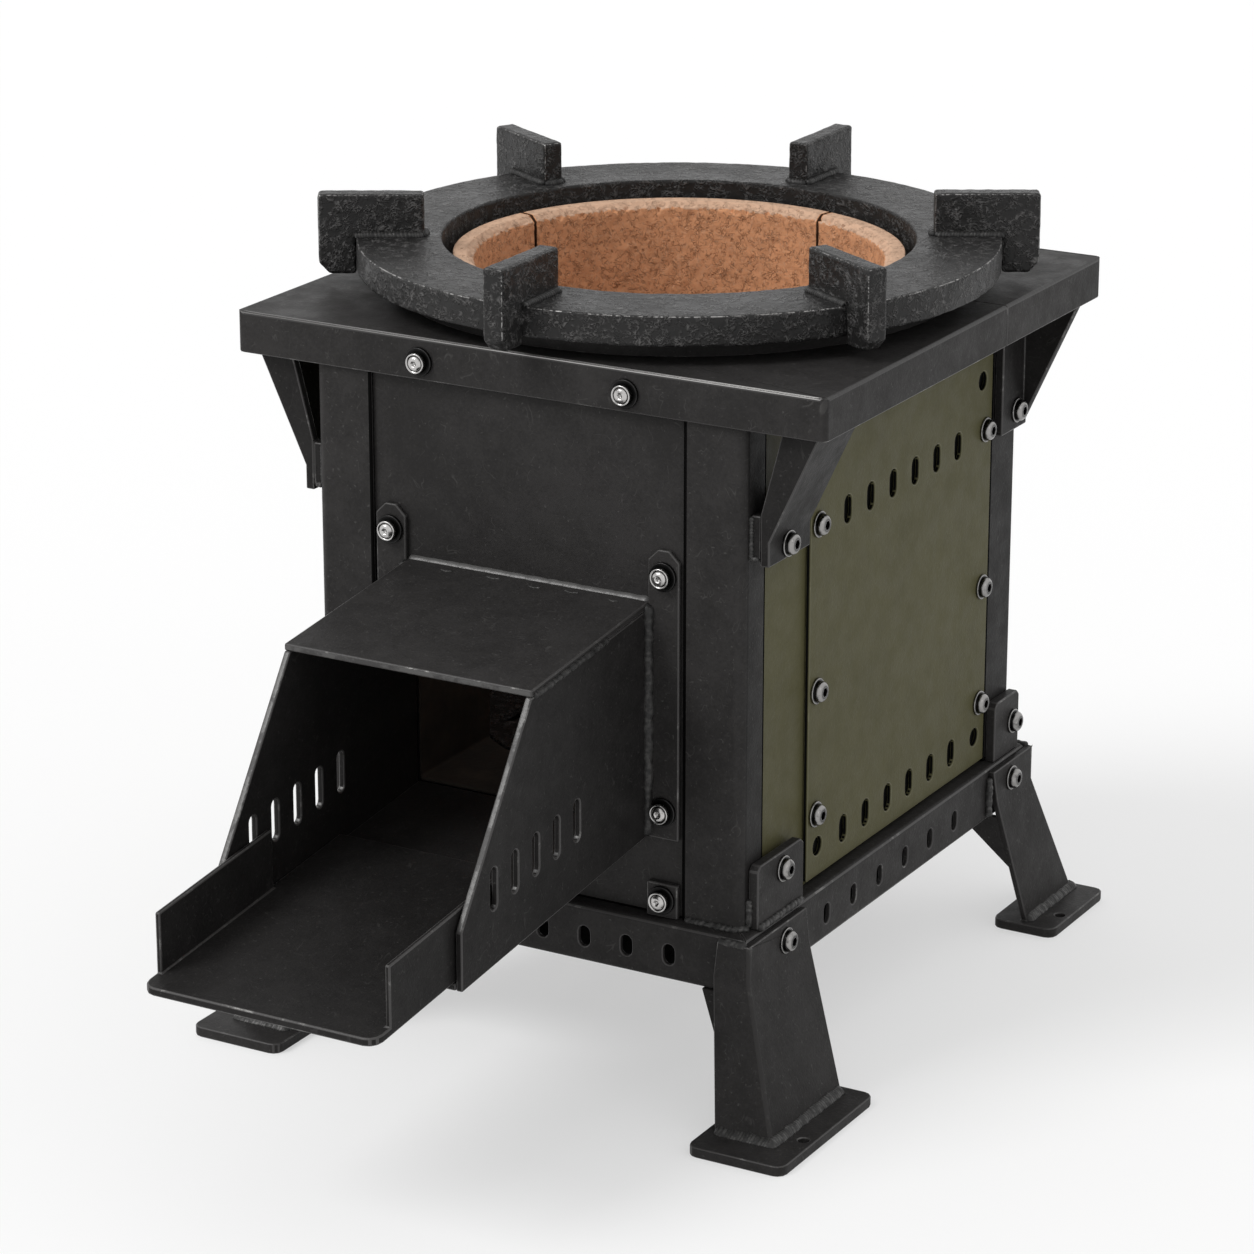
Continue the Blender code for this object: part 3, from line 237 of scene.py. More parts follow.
def normals_of(mesh: bpy.types.Mesh) -> np.ndarray:
    """Unit normals of a mesh's vertices, shape (n, 3).

    Args:
        mesh: Mesh to read.

    Returns:
        One row per vertex.
    """
    normals = np.empty(len(mesh.vertices) * 3)
    mesh.vertex_normals.foreach_get("vector", normals)
    return normals.reshape(-1, 3)


def set_marks(mesh: bpy.types.Mesh, marks: np.ndarray) -> None:
    """Keeps one value for the material at each vertex."""
    layer = mesh.attributes.get(MARK) or mesh.attributes.new(MARK, "FLOAT", "POINT")
    layer.data.foreach_set("value", marks.astype(np.float32))


def roughen(piece: Piece, layers: Sequence[tuple[float, float, int]], share: np.ndarray | float = 1.0) -> None:
    """Moves each vertex along its normal by a sum of smooth noises.

    Args:
        piece: Piece to roughen.
        layers: Wave length, depth and seed of each noise.
        share: How much of the depth each vertex takes.
    """
    places = places_of(piece.data)
    depth = sum(depth * smooth_noise(places, size, seed) for size, depth, seed in layers)
    places += normals_of(piece.data) * (depth * share)[:, None]
    piece.data.vertices.foreach_set("co", places.ravel())
    piece.data.update()


def mark_edges(piece: Piece, radial: np.ndarray, share: float = 1.0) -> None:
    """Marks rounded upper edges, where the iron is rubbed bare and painted glints go: 0 where the normal is along
    an axis of the casting, most where it is halfway.

    Args:
        piece: Casting with flat faces and round edges.
        radial: Direction away from the axis, one for each vertex or one for all.
        share: Largest mark.
    """
    normals = normals_of(piece.data)
    along = np.stack((np.abs((normals * radial).sum(-1)), np.abs(normals[:, 2]),
                      np.abs((np.cross(radial, UP) * normals).sum(-1))))
    set_marks(piece.data, np.clip((1 - along.max(0)) / 0.25, 0, 1) * (normals[:, 2] > -0.2) * share)


def settle(piece: Piece, body: str, slot: str, *nodes: str) -> Piece:
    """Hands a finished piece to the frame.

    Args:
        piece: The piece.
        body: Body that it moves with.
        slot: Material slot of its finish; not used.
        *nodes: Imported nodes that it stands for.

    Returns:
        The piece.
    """
    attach(piece, body)
    if nodes:
        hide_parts(*nodes)
    LOG.info("%s: %d faces, rides on %s", piece.name, len(piece.data.polygons), body)
    return piece


# Finishes


class Sketch:
    """Node tree of one material, on Object coordinates."""

    def __init__(self, name: str) -> None:
        """Starts an empty material with a principled shader.

        Args:
            name: Name of the material.
        """
        self.material = bpy.data.materials.new(name)
        self.material.use_nodes = True
        self.tree = self.material.node_tree
        self.shader = self.tree.nodes["Principled BSDF"]
        self.places = self.add("ShaderNodeTexCoord").outputs["Object"]
        self.relief: Socket | None = None
        self.drawn = 0

    def add(self, kind: str, **settings: object) -> bpy.types.Node:
        """Adds a node with these settings.

        Args:
            kind: Type of the node.
            settings: Its properties, by name.

        Returns:
            The node.
        """
        node = self.tree.nodes.new(kind)
        for key, value in settings.items():
            setattr(node, key, value)
        return node

    def feed(self, socket: Socket, value: Socket | float | Colour) -> None:
        """Links a socket, or sets its number or colour."""
        if isinstance(value, bpy.types.NodeSocket):
            self.tree.links.new(value, socket)
        elif isinstance(value, tuple) and socket.type == "RGBA":
            socket.default_value = (*value, 1.0)
        else:
            socket.default_value = value

    def set(self, **values: Socket | float | Colour) -> None:
        """Feeds the shader's sockets; an underscore in a name stands for a space."""
        for key, value in values.items():
            self.feed(self.shader.inputs[key.replace("_", " ")], value)

    def spread(self, size: float, stretch: Point, turn: Point) -> Socket:
        """Coordinates divided by a size, turned and stretched, and moved on with each call.

        Args:
            size: Size of the pattern.
            stretch: Its share of that size along each axis.
            turn: Turn about each axis.

        Returns:
            Socket of the coordinates.
        """
        self.drawn += 1
        mapping = self.add("ShaderNodeMapping", vector_type="TEXTURE")
        mapping.inputs["Location"].default_value = (0.37 * self.drawn, -0.53 * self.drawn, 0.29 * self.drawn)
        mapping.inputs["Rotation"].default_value = turn
        mapping.inputs["Scale"].default_value = tuple(size * share for share in stretch)
        self.tree.links.new(self.places, mapping.inputs["Vector"])
        return mapping.outputs["Vector"]

    def noise(self, size: float, detail: float = 2.0, grain: float = 0.5, warp: float = 0.0,
              stretch: Point = (1, 1, 1), turn: Point = (0, 0, 0)) -> Socket:
        """Cloudy noise.

        Args:
            size: Length of its coarsest wave.
            detail: Number of finer waves on it.
            grain: Strength of the finer waves.
            warp: How far it is bent by itself.
            stretch: Share of the size along each axis.
            turn: Turn of those axes, in radians.

        Returns:
            Values of 0 to 1.
        """
        node = self.add("ShaderNodeTexNoise")
        for key, value in (("Scale", 1.0), ("Detail", detail), ("Roughness", grain), ("Distortion", warp)):
            node.inputs[key].default_value = value
        self.tree.links.new(self.spread(size, stretch, turn), node.inputs["Vector"])
        return node.outputs[0]

    def cells(self, size: float) -> Socket:
        """Distance from the middle of random cells of this size.

        Args:
            size: Size of a cell.

        Returns:
            Socket of the distance.
        """
        node = self.add("ShaderNodeTexVoronoi")
        node.inputs["Scale"].default_value = 1.0
        self.tree.links.new(self.spread(size, (1, 1, 1), (0, 0, 0)), node.inputs["Vector"])
        return node.outputs["Distance"]

    def axis(self, number: int) -> Socket:
        """One of the three coordinates.

        Args:
            number: 0, 1 or 2 for X, Y or Z.

        Returns:
            Socket of the coordinate.
        """
        node = self.add("ShaderNodeSeparateXYZ")
        self.feed(node.inputs[0], self.places)
        return node.outputs[number]

    def band(self, value: Socket, low: float, high: float, soft: float) -> Socket:
        """1 between two limits, 0 outside them, with a soft change inside each limit."""
        rise = self.ramp(value, low, low + soft)
        return self.calc("MULTIPLY", rise, self.ramp(value, high - soft, high, 1.0, 0.0))

    def mark(self) -> Socket:
        """The value that the mesh keeps at each vertex."""
        return self.add("ShaderNodeAttribute", attribute_name=MARK).outputs["Fac"]

    def ramp(self, value: Socket, low: float, high: float, start: float = 0.0, end: float = 1.0) -> Socket:
        """Smooth step from start at low to end at high.

        Args:
            value: Socket to read.
            low: Value where the step starts.
            high: Value where it ends.
            start: Result up to low.
            end: Result from high on.

        Returns:
            Socket of the result.
        """
        node = self.add("ShaderNodeMapRange", interpolation_type="SMOOTHSTEP")
        for socket, given in zip(node.inputs, (value, low, high, start, end)):
            self.feed(socket, given)
        return node.outputs[0]

    def mix(self, share: Socket, first: Socket | Colour, second: Socket | Colour) -> Socket:
        """Colour between two colours.

        Args:
            share: Share of the second colour.
            first: Colour at share 0.
            second: Colour at share 1.

        Returns:
            Socket of the colour.
        """
        node = self.add("ShaderNodeMix", data_type="RGBA")
        for index, given in ((0, share), (6, first), (7, second)):
            self.feed(node.inputs[index], given)
        return node.outputs[2]

    def calc(self, operation: str, first: Socket | float, second: Socket | float = 0.0) -> Socket:
        """Result of a sum on one or two values.

        Args:
            operation: Name of the sum.
            first: First value.
            second: Second value, where the sum has one.

        Returns:
            Socket of the result.
        """
        node = self.add("ShaderNodeMath", operation=operation)
        self.feed(node.inputs[0], first)
        self.feed(node.inputs[1], second)
        return node.outputs[0]

    def ridges(self, value: Socket, width: float) -> Socket:
        """1 along the lines where a noise is one half, 0 away from them."""
        return self.ramp(self.calc("ABSOLUTE", self.calc("SUBTRACT", value, 0.5)), 0.0, width, 1.0, 0.0)

    def bump(self, height: Socket, depth: float) -> None:
        """Adds a layer of relief, over those that are there already.

        Args:
            height: Socket of the height, 0 to 1.
            depth: Depth of the relief.
        """
        node = self.add("ShaderNodeBump")
        node.inputs["Strength"].default_value = 1.0
        node.inputs["Distance"].default_value = depth
        self.feed(node.inputs["Height"], height)
        if self.relief is not None:
            self.feed(node.inputs["Normal"], self.relief)
        self.relief = node.outputs[0]
        self.set(Normal=self.relief)


def tint(colour: Colour, share: float) -> Colour:
    """Colour made lighter or darker by a share."""
    return tuple(channel * share for channel in colour)


@dataclass(frozen=True)
class Finish:
    """A finish: its name, its material slot and its main colour."""

    name: str
    slot: str
    colour: Colour

    def material(self) -> bpy.types.Material:
        """The finish's material, drawn the first time that it is asked for."""
        known = bpy.data.materials.get(self.name)
        return known or self.draw(Sketch(self.name)).material

    def draw(self, sketch: Sketch) -> Sketch:
        """Draws the finish's nodes; each kind of finish has its own."""
        raise NotImplementedError


@dataclass(frozen=True)
class Coat(Finish):
    """Baked coat on sheet steel: clouds, a leathery grain, faint strokes and pale specks."""

    dust: Colour = (0.10, 0.097, 0.094)
    clouds: float = 0.21
    gloss: float = 0.07
    rough: float = 0.43
    specks: float = 0.42

    def tone(self, sketch: Sketch) -> Socket:
        """Wide and narrow clouds and a fine grain of the colour, with strokes and specks of the dust's colour.

        Args:
            sketch: Node tree to draw in.

        Returns:
            Socket of the colour.
        """
        wide, narrow = sketch.noise(0.11, 3.0, 0.6), sketch.noise(0.018, 4.0, 0.65)
        grain = sketch.noise(0.0024, 2.0, 0.6, 0.8)
        clouds = sketch.calc("ADD", sketch.calc("MULTIPLY", wide, 0.4), sketch.calc("MULTIPLY", narrow, 0.3))
        clouds = sketch.calc("ADD", clouds, sketch.calc("MULTIPLY", grain, 0.3))
        base = sketch.mix(sketch.ramp(clouds, 0.38, 0.62), tint(self.colour, 1 - self.clouds),
                          tint(self.colour, 1 + self.clouds))
        strokes = sketch.noise(0.013, 1.0, warp=1.0, stretch=(1, 1.6, 1.6), turn=(0.4, 0.2, 0.7))
        strokes = sketch.ridges(strokes, 0.013)
        strokes = sketch.calc("MULTIPLY", strokes, sketch.ramp(sketch.noise(0.011, 2.0), 0.50, 0.62, 0.0, 0.7))
        flecks = sketch.ramp(sketch.noise(0.0026, 1.0), 0.66, 0.80)
        share = sketch.calc("MULTIPLY", sketch.calc("MAXIMUM", strokes, flecks), self.specks)
        return sketch.mix(share, base, self.dust)

    def draw(self, sketch: Sketch) -> Sketch:
        """The tone, with uneven gloss, slight waves and the grain.

        Args:
            sketch: Node tree to draw in.

        Returns:
            The same sketch.
        """
        narrow = sketch.noise(0.018, 4.0, 0.65)
        rough = sketch.ramp(narrow, 0.3, 0.7, self.rough - 0.06, self.rough + 0.08)
        sketch.set(Base_Color=self.tone(sketch), Roughness=rough, Specular_IOR_Level=self.gloss)
        sketch.bump(sketch.noise(0.11, 2.0), 0.0012)
        sketch.bump(sketch.noise(0.0026, 2.0, 0.6, 0.8), 0.00020)
        return sketch


@dataclass(frozen=True)
class CoveredCoat(Coat):
    """Coat with a near-black field of painted shade behind a bolted cover, where its slots look in.

    Attributes:
        low: Lowest corner of the cover.
        high: Highest corner of the cover.
        painted_shade: Colour of the painted shade behind the cover.
    """

    low: Point = (0.0, 0.0, 0.0)
    high: Point = (0.0, 0.0, 0.0)
    painted_shade: Colour = (0.004, 0.004, 0.004)

    def tone(self, sketch: Sketch) -> Socket:
        """The coat's tone, and the painted shade behind the cover."""
        # Painted shade: near black inside the cover's outline, 4 mm in from its edges.
        behind = sketch.calc("MULTIPLY", *(sketch.band(sketch.axis(axis), self.low[axis] + 0.004,
                                                       self.high[axis] - 0.004, 0.001) for axis in (1, 2)))
        return sketch.mix(behind, super().tone(sketch), self.painted_shade)


@dataclass(frozen=True)
class PiercedCoat(Coat):
    """Coat on the outer face of a cover, with painted shade, near black, on its cut walls.

    Attributes:
        face: Distance of the outer face from the axis, along X.
        painted_shade: Colour of the painted shade on the cut walls.
    """

    face: float = 0.0
    painted_shade: Colour = (0.005, 0.005, 0.005)

    def tone(self, sketch: Sketch) -> Socket:
        """The coat's tone, and the painted shade below the outer face.

        Args:
            sketch: Node tree to draw in.

        Returns:
            Socket of the colour.
        """
        # Painted shade: near black on the slot walls, below the outer face.
        away = sketch.calc("ABSOLUTE", sketch.axis(0))
        sunk = sketch.ramp(away, self.face - 0.0014, self.face - 0.0010, 1.0, 0.0)
        return sketch.mix(sunk, super().tone(sketch), self.painted_shade)


@dataclass(frozen=True)
class WornEdgeWithPaintedLight(Finish):
    """Edge with bare steel in worn patches, and elsewhere the coat's colour times painted_light: above 1 a painted
    highlight, below 1 a painted shade.
    """

    steel: Colour = (0.10, 0.098, 0.095)
    bare: float = 0.35
    painted_light: float = 1.45
    metal: float = 0.55
    gloss: float = 0.35

    def bareness(self, sketch: Sketch) -> Socket:
        """Share of bare steel: 1 where a streaky noise is high."""
        return sketch.ramp(sketch.noise(0.02, 5.0, 0.7), 0.70 - self.bare * 0.4, 0.80 - self.bare * 0.4)

    def draw(self, sketch: Sketch) -> Sketch:
        """Bare steel in its worn patches, and elsewhere the coat's colour lifted or lowered as painted light.

        Args:
            sketch: Node tree to draw in.

        Returns:
            The same sketch.
        """
        bare = self.bareness(sketch)
        # Painted light: away from the bare patches, the coat's colour is multiplied by painted_light.
        sketch.set(
            Base_Color=sketch.mix(bare, tint(self.colour, self.painted_light), self.steel),
            Metallic=sketch.calc("MULTIPLY", bare, self.metal),
            Roughness=sketch.ramp(bare, 0.0, 1.0, 0.45, 0.35),
            Specular_IOR_Level=self.gloss,
        )
        sketch.bump(sketch.noise(0.003, 2.0), 0.0002)
        return sketch


@dataclass(frozen=True)
class HighlightedRubbedFold(WornEdgeWithPaintedLight):
    """Bent edge with bright bare steel along its front run, partly worn and partly a painted highlight.

    Attributes:
        front: Place of the front run along Y.
        top: Height of the front run.
    """

    front: float = 0.0
    top: float = 0.0

    def bareness(self, sketch: Sketch) -> Socket:
        """Bare in a narrow band along the front run, broken up and fading out to the left, as a painted highlight
        with some rubbing.

        Args:
            sketch: Node tree to draw in.

        Returns:
            Socket of the share.
        """
        # Painted highlight: the band keeps to the middle of the bend and fades out to the left.
        band = sketch.calc("MULTIPLY", sketch.ramp(sketch.axis(1), self.front + 0.0012, self.front + 0.0016, 1, 0),
                           sketch.ramp(sketch.axis(2), self.top - 0.0015, self.top - 0.0011))
        broken = sketch.ramp(sketch.noise(0.012, 4.0, 0.65), 0.26, 0.40)
        fading = sketch.ramp(sketch.axis(0), -0.20, 0.06, 0.35, 1.0)
        return sketch.calc("MULTIPLY", sketch.calc("MULTIPLY", band, broken), fading)


@dataclass(frozen=True)
class CastIron(Finish):
    """Sand-cast iron: fine raised wormy wrinkles with painted highlights on their crests, and upper edges rubbed
    to the metal, partly worn and partly painted glints.
    """

    steel: Colour = (0.36, 0.352, 0.345)

    def draw(self, sketch: Sketch) -> Sketch:
        """Wrinkles from ridges of warped noises, their crests painted light as highlights; the mesh's mark bares
        the upper edges, partly worn and partly painted glints.

        Args:
            sketch: Node tree to draw in.

        Returns:
            The same sketch.
        """
        clouds = sketch.noise(0.04, 4.0, 0.6)
        wrinkles = sketch.calc(
            "MAXIMUM",
            sketch.ridges(sketch.noise(0.0056, 1.0, warp=1.5, stretch=(1, 1.9, 1), turn=(0.2, 0.1, 0.6)), 0.075),
            sketch.ridges(sketch.noise(0.0050, 1.0, warp=1.5, stretch=(1.9, 1, 1.3), turn=(0.5, 0.3, 0.2)), 0.075),
        )
        wrinkles = sketch.calc("MULTIPLY", wrinkles, sketch.ramp(sketch.noise(0.007, 2.0), 0.40, 0.60))
        base = sketch.mix(sketch.ramp(clouds, 0.32, 0.68), tint(self.colour, 0.85), tint(self.colour, 1.1))
        # Painted highlight: the wrinkles' crests are 5.5 times lighter than the iron.
        base = sketch.mix(wrinkles, base, tint(self.colour, 5.5))
        # Partly rubbed bare, partly painted glints: bright metal in dots along the marked upper edges.
        wear_and_glint = sketch.calc("MULTIPLY", sketch.ramp(sketch.mark(), 0.45, 0.9),
                           sketch.ramp(sketch.noise(0.0036, 3.0, 0.65), 0.45, 0.58))
        base = sketch.mix(wear_and_glint, base, self.steel)
        sketch.set(Base_Color=base, Metallic=sketch.calc("MULTIPLY", wear_and_glint, 0.6),
                   Roughness=sketch.ramp(clouds, 0.3, 0.7, 0.32, 0.44), Specular_IOR_Level=0.20)
        sketch.bump(wrinkles, 0.0014)
        sketch.bump(sketch.noise(0.0018, 3.0, 0.6), 0.0003)
        return sketch


@dataclass(frozen=True)
class Firebrick(Finish):
    """Fired clay: warm clouds, fine strokes, a few pits, a paler rim along the top and dark joints."""

    rim: Colour = (0.66, 0.45, 0.32)
    deep: Colour = (0.22, 0.095, 0.045)

    def draw(self, sketch: Sketch) -> Sketch:
        """Strokes from ridged noises, pits from cells; the mesh's mark pales the rim, or darkens a joint.

        Args:
            sketch: Node tree to draw in.

        Returns:
            The same sketch.
        """
        clouds = sketch.noise(0.05, 4.0, 0.6)
        base = sketch.mix(sketch.ramp(clouds, 0.3, 0.7), tint(self.colour, 0.93), tint(self.colour, 1.07))
        strokes = sketch.calc(
            "MAXIMUM",
            sketch.ridges(sketch.noise(0.0048, 1.0, warp=1.2, stretch=(1, 1, 1.7), turn=(0.5, 0.4, 0.2)), 0.045),
            sketch.ridges(sketch.noise(0.0044, 1.0, warp=1.2, stretch=(1.7, 1, 1), turn=(0.2, 0.7, 0.9)), 0.045),
        )
        strokes = sketch.calc("MULTIPLY", strokes, sketch.ramp(sketch.noise(0.005, 2.0), 0.34, 0.66))
        pits = sketch.ramp(sketch.cells(0.0065), 0.14, 0.26, 1.0, 0.0)
        pits = sketch.calc("MULTIPLY", pits, sketch.ramp(sketch.noise(0.012, 1.0), 0.56, 0.64))
        base = sketch.mix(sketch.calc("MULTIPLY", strokes, 0.5), base, self.deep)
        base = sketch.mix(sketch.ramp(sketch.noise(0.0022, 2.0), 0.5, 0.7, 0.0, 0.25), base, self.rim)
        base = sketch.mix(sketch.ramp(sketch.mark(), 0.3, 0.7, 0.0, 0.85), base, self.rim)
        base = sketch.mix(sketch.calc("MULTIPLY", pits, 0.6), base, self.deep)
        base = sketch.mix(sketch.ramp(sketch.mark(), -0.95, -0.5, 1.0, 0.0), base, tint(self.deep, 0.25))
        sketch.set(Base_Color=base, Roughness=sketch.ramp(clouds, 0.3, 0.7, 0.82, 0.95),
                   Specular_IOR_Level=0.2)
        sketch.bump(sketch.calc("SUBTRACT", 1.0, sketch.calc("MAXIMUM", strokes, pits)), 0.0006)
        sketch.bump(sketch.noise(0.0025, 3.0, 0.6), 0.0004)
        return sketch


@dataclass(frozen=True)
class Refractory(Finish):
    """Cast or fibrous lining: clouds, soot and a coarse grain."""

    soot: Colour = (0.02, 0.018, 0.016)
    grain: float = 0.006

    def draw(self, sketch: Sketch) -> Sketch:
        """Colour in clouds, sooted in patches, with a grain of this lining's size.

        Args:
            sketch: Node tree to draw in.

        Returns:
            The same sketch.
        """
        clouds = sketch.noise(0.06, 4.0, 0.6)
        base = sketch.mix(sketch.ramp(clouds, 0.3, 0.7), tint(self.colour, 0.8), tint(self.colour, 1.15))
        base = sketch.mix(sketch.ramp(sketch.noise(0.09, 4.0, 0.65), 0.35, 0.65, 0.0, 0.9), base, self.soot)
        sketch.set(Base_Color=base, Roughness=sketch.ramp(clouds, 0.3, 0.7, 0.85, 0.97), Specular_IOR_Level=0.2)
        sketch.bump(sketch.noise(self.grain, 3.0, 0.6), self.grain / 8)
        return sketch


@dataclass(frozen=True)
class BareMetal(Finish):
    """Turned or rolled bare metal, a little stained, darker where the mesh's mark is high: dirt and painted shade
    in its corners, and painted reflection bands on bolt heads.
    """

    stain: Colour = (0.24, 0.235, 0.23)
    rough: float = 0.24

    def draw(self, sketch: Sketch) -> Sketch:
        """Metal with stains in clouds and a fine grain; the mesh's mark holds the dirt and painted shade.

        Args:
            sketch: Node tree to draw in.

        Returns:
            The same sketch.
        """
        stains = sketch.ramp(sketch.noise(0.005, 4.0, 0.65), 0.50, 0.74)
        grime_and_shade = sketch.ramp(sketch.mark(), 0.1, 0.9)
        base = sketch.mix(stains, self.colour, self.stain)
        # Dirt and painted shade: the colour is darker where the mark is high.
        sketch.set(
            Base_Color=sketch.mix(grime_and_shade, base, tint(self.stain, 0.12)),
            Metallic=1.0,
            Roughness=sketch.ramp(stains, 0.0, 1.0, self.rough, self.rough + 0.16),
        )
        sketch.bump(sketch.noise(0.0012, 2.0), 0.00005)
        return sketch


@dataclass(frozen=True)
class WeldSkin(Finish):
    """Painted-over weld metal: dark between the ripples, lighter on their crests, partly rubbed and partly a
    painted highlight.
    """

    crest: Colour = (0.05, 0.0485, 0.047)

    def draw(self, sketch: Sketch) -> Sketch:
        """Crests from the mesh's mark, broken up by a noise, lighter as rubbed metal and painted highlight.

        Args:
            sketch: Node tree to draw in.

        Returns:
            The same sketch.
        """
        broken = sketch.ramp(sketch.noise(0.004, 3.0, 0.6), 0.38, 0.62)
        # Painted highlight, partly rubbing: the crests take the lighter crest colour.
        share = sketch.calc("MULTIPLY", sketch.ramp(sketch.mark(), 0.3, 0.95), broken)
        sketch.set(
            Base_Color=sketch.mix(share, self.colour, self.crest),
            Metallic=sketch.calc("MULTIPLY", share, 0.4),
            Roughness=sketch.ramp(broken, 0.0, 1.0, 0.55, 0.40),
            Specular_IOR_Level=0.3,
        )
        sketch.bump(sketch.noise(0.0016, 2.0, 0.6), 0.0002)
        return sketch


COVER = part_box("access_panel_right")
BLACK = Coat("black_coat", "black_steel", (0.0295, 0.0281, 0.0276))
# Painted highlight, with worn patches: eased black edges are lifted 1.6 times.
BLACK_EDGE = WornEdgeWithPaintedLight("black_coat_edge", "black_steel", BLACK.colour, (0.14, 0.137, 0.133), 0.4, 1.6)
# Painted shade: the eased edges at the front panel and posts are near black, like a shaded groove.
BLACK_JOINT_SHADE = WornEdgeWithPaintedLight("black_coat_joint_shade", "black_steel", BLACK.colour, bare=-1.0, painted_light=0.1, gloss=0.02)
# Painted shade: a darker copy of the black coat, for faces in shade under the top plate and the chute roof.
SHADED_BLACK = Coat("black_coat_shaded", "black_steel", tint(BLACK.colour, 0.62), tint(BLACK.dust, 0.7))
# Painted highlight, with a few worn patches: a faint lighter line along bent edges.
BLACK_FOLD = WornEdgeWithPaintedLight("black_coat_fold", "black_steel", BLACK.colour, (0.06, 0.058, 0.056), 0.35, 1.05,
                      gloss=0.14)
# Painted highlight, partly worn: bright bare steel along the top plate's front fold.
TOP_FOLD_HIGHLIGHT = HighlightedRubbedFold("black_coat_top_fold_highlight", "black_steel", BLACK.colour, (0.46, 0.45, 0.44), painted_light=1.1,
                      front=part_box("top_plate_front")[0][1], top=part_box("top_plate_front")[1][2])
# Ground cut faces: bare steel in patches, and the coat lifted 1.4 times as a painted highlight.
GROUND = WornEdgeWithPaintedLight("black_coat_ground", "black_steel", BLACK.colour, (0.085, 0.083, 0.081), 0.7, 1.4, 0.2)
OLIVE = Coat("olive_coat", "olive_steel", (0.082, 0.077, 0.038), (0.17, 0.16, 0.11), 0.07, 0.07, 0.42, 0.15)
OLIVE_COVERED = CoveredCoat("olive_coat_shaded_behind_cover", OLIVE.slot, OLIVE.colour, OLIVE.dust, OLIVE.clouds, OLIVE.gloss,
                            OLIVE.rough, OLIVE.specks, *map(tuple, COVER))
OLIVE_PIERCED = PiercedCoat("olive_coat_pierced_shaded_walls", OLIVE.slot, OLIVE.colour, OLIVE.dust, OLIVE.clouds, OLIVE.gloss,
                            OLIVE.rough, OLIVE.specks, COVER[1][0])
# Painted highlight, with worn patches: eased olive edges are lifted 1.25 times.
OLIVE_EDGE = WornEdgeWithPaintedLight("olive_coat_edge", "olive_steel", OLIVE.colour, (0.15, 0.145, 0.095), 0.3, 1.25)
IRON = CastIron("cast_iron_skin", "cast_iron", (0.0175, 0.0170, 0.0167))
CLAY = Firebrick("fired_clay", "firebrick", (0.70, 0.345, 0.178))
# Near black: soot, and painted shade for the dark inside of the chute and throat.
CASTABLE_SOOT_AND_SHADE = Refractory("castable_lining_soot_and_shade", "castable_refractory", (0.055, 0.045, 0.036))
WOOL = Refractory("fibre_fill", "insulation", (0.55, 0.53, 0.48), (0.30, 0.28, 0.25), 0.012)
BRIGHT = BareMetal("bright_bolt", "stainless_bolt", (0.52, 0.51, 0.50))
GUNMETAL = BareMetal("dark_bolt", "stainless_bolt", (0.30, 0.293, 0.286), (0.11, 0.107, 0.104), 0.22)
BLACK_WASHER = BareMetal("black_washer", "stainless_bolt", (0.035, 0.034, 0.034), (0.02, 0.02, 0.02), 0.4)
WELD = WeldSkin("weld_skin", "black_steel", (0.0135, 0.0132, 0.0130))
# Painted highlight, with bare patches all along: the roof weld's coat is lifted 1.9 times.
SMOOTH_WELD = WornEdgeWithPaintedLight("smooth_weld_skin", "black_steel", BLACK.colour, (0.095, 0.093, 0.091), 1.0, 1.9, 0.2)
PALE_WELD = WeldSkin("pale_weld_skin", "black_steel", (0.024, 0.0235, 0.023), (0.075, 0.073, 0.071))


# Pieces


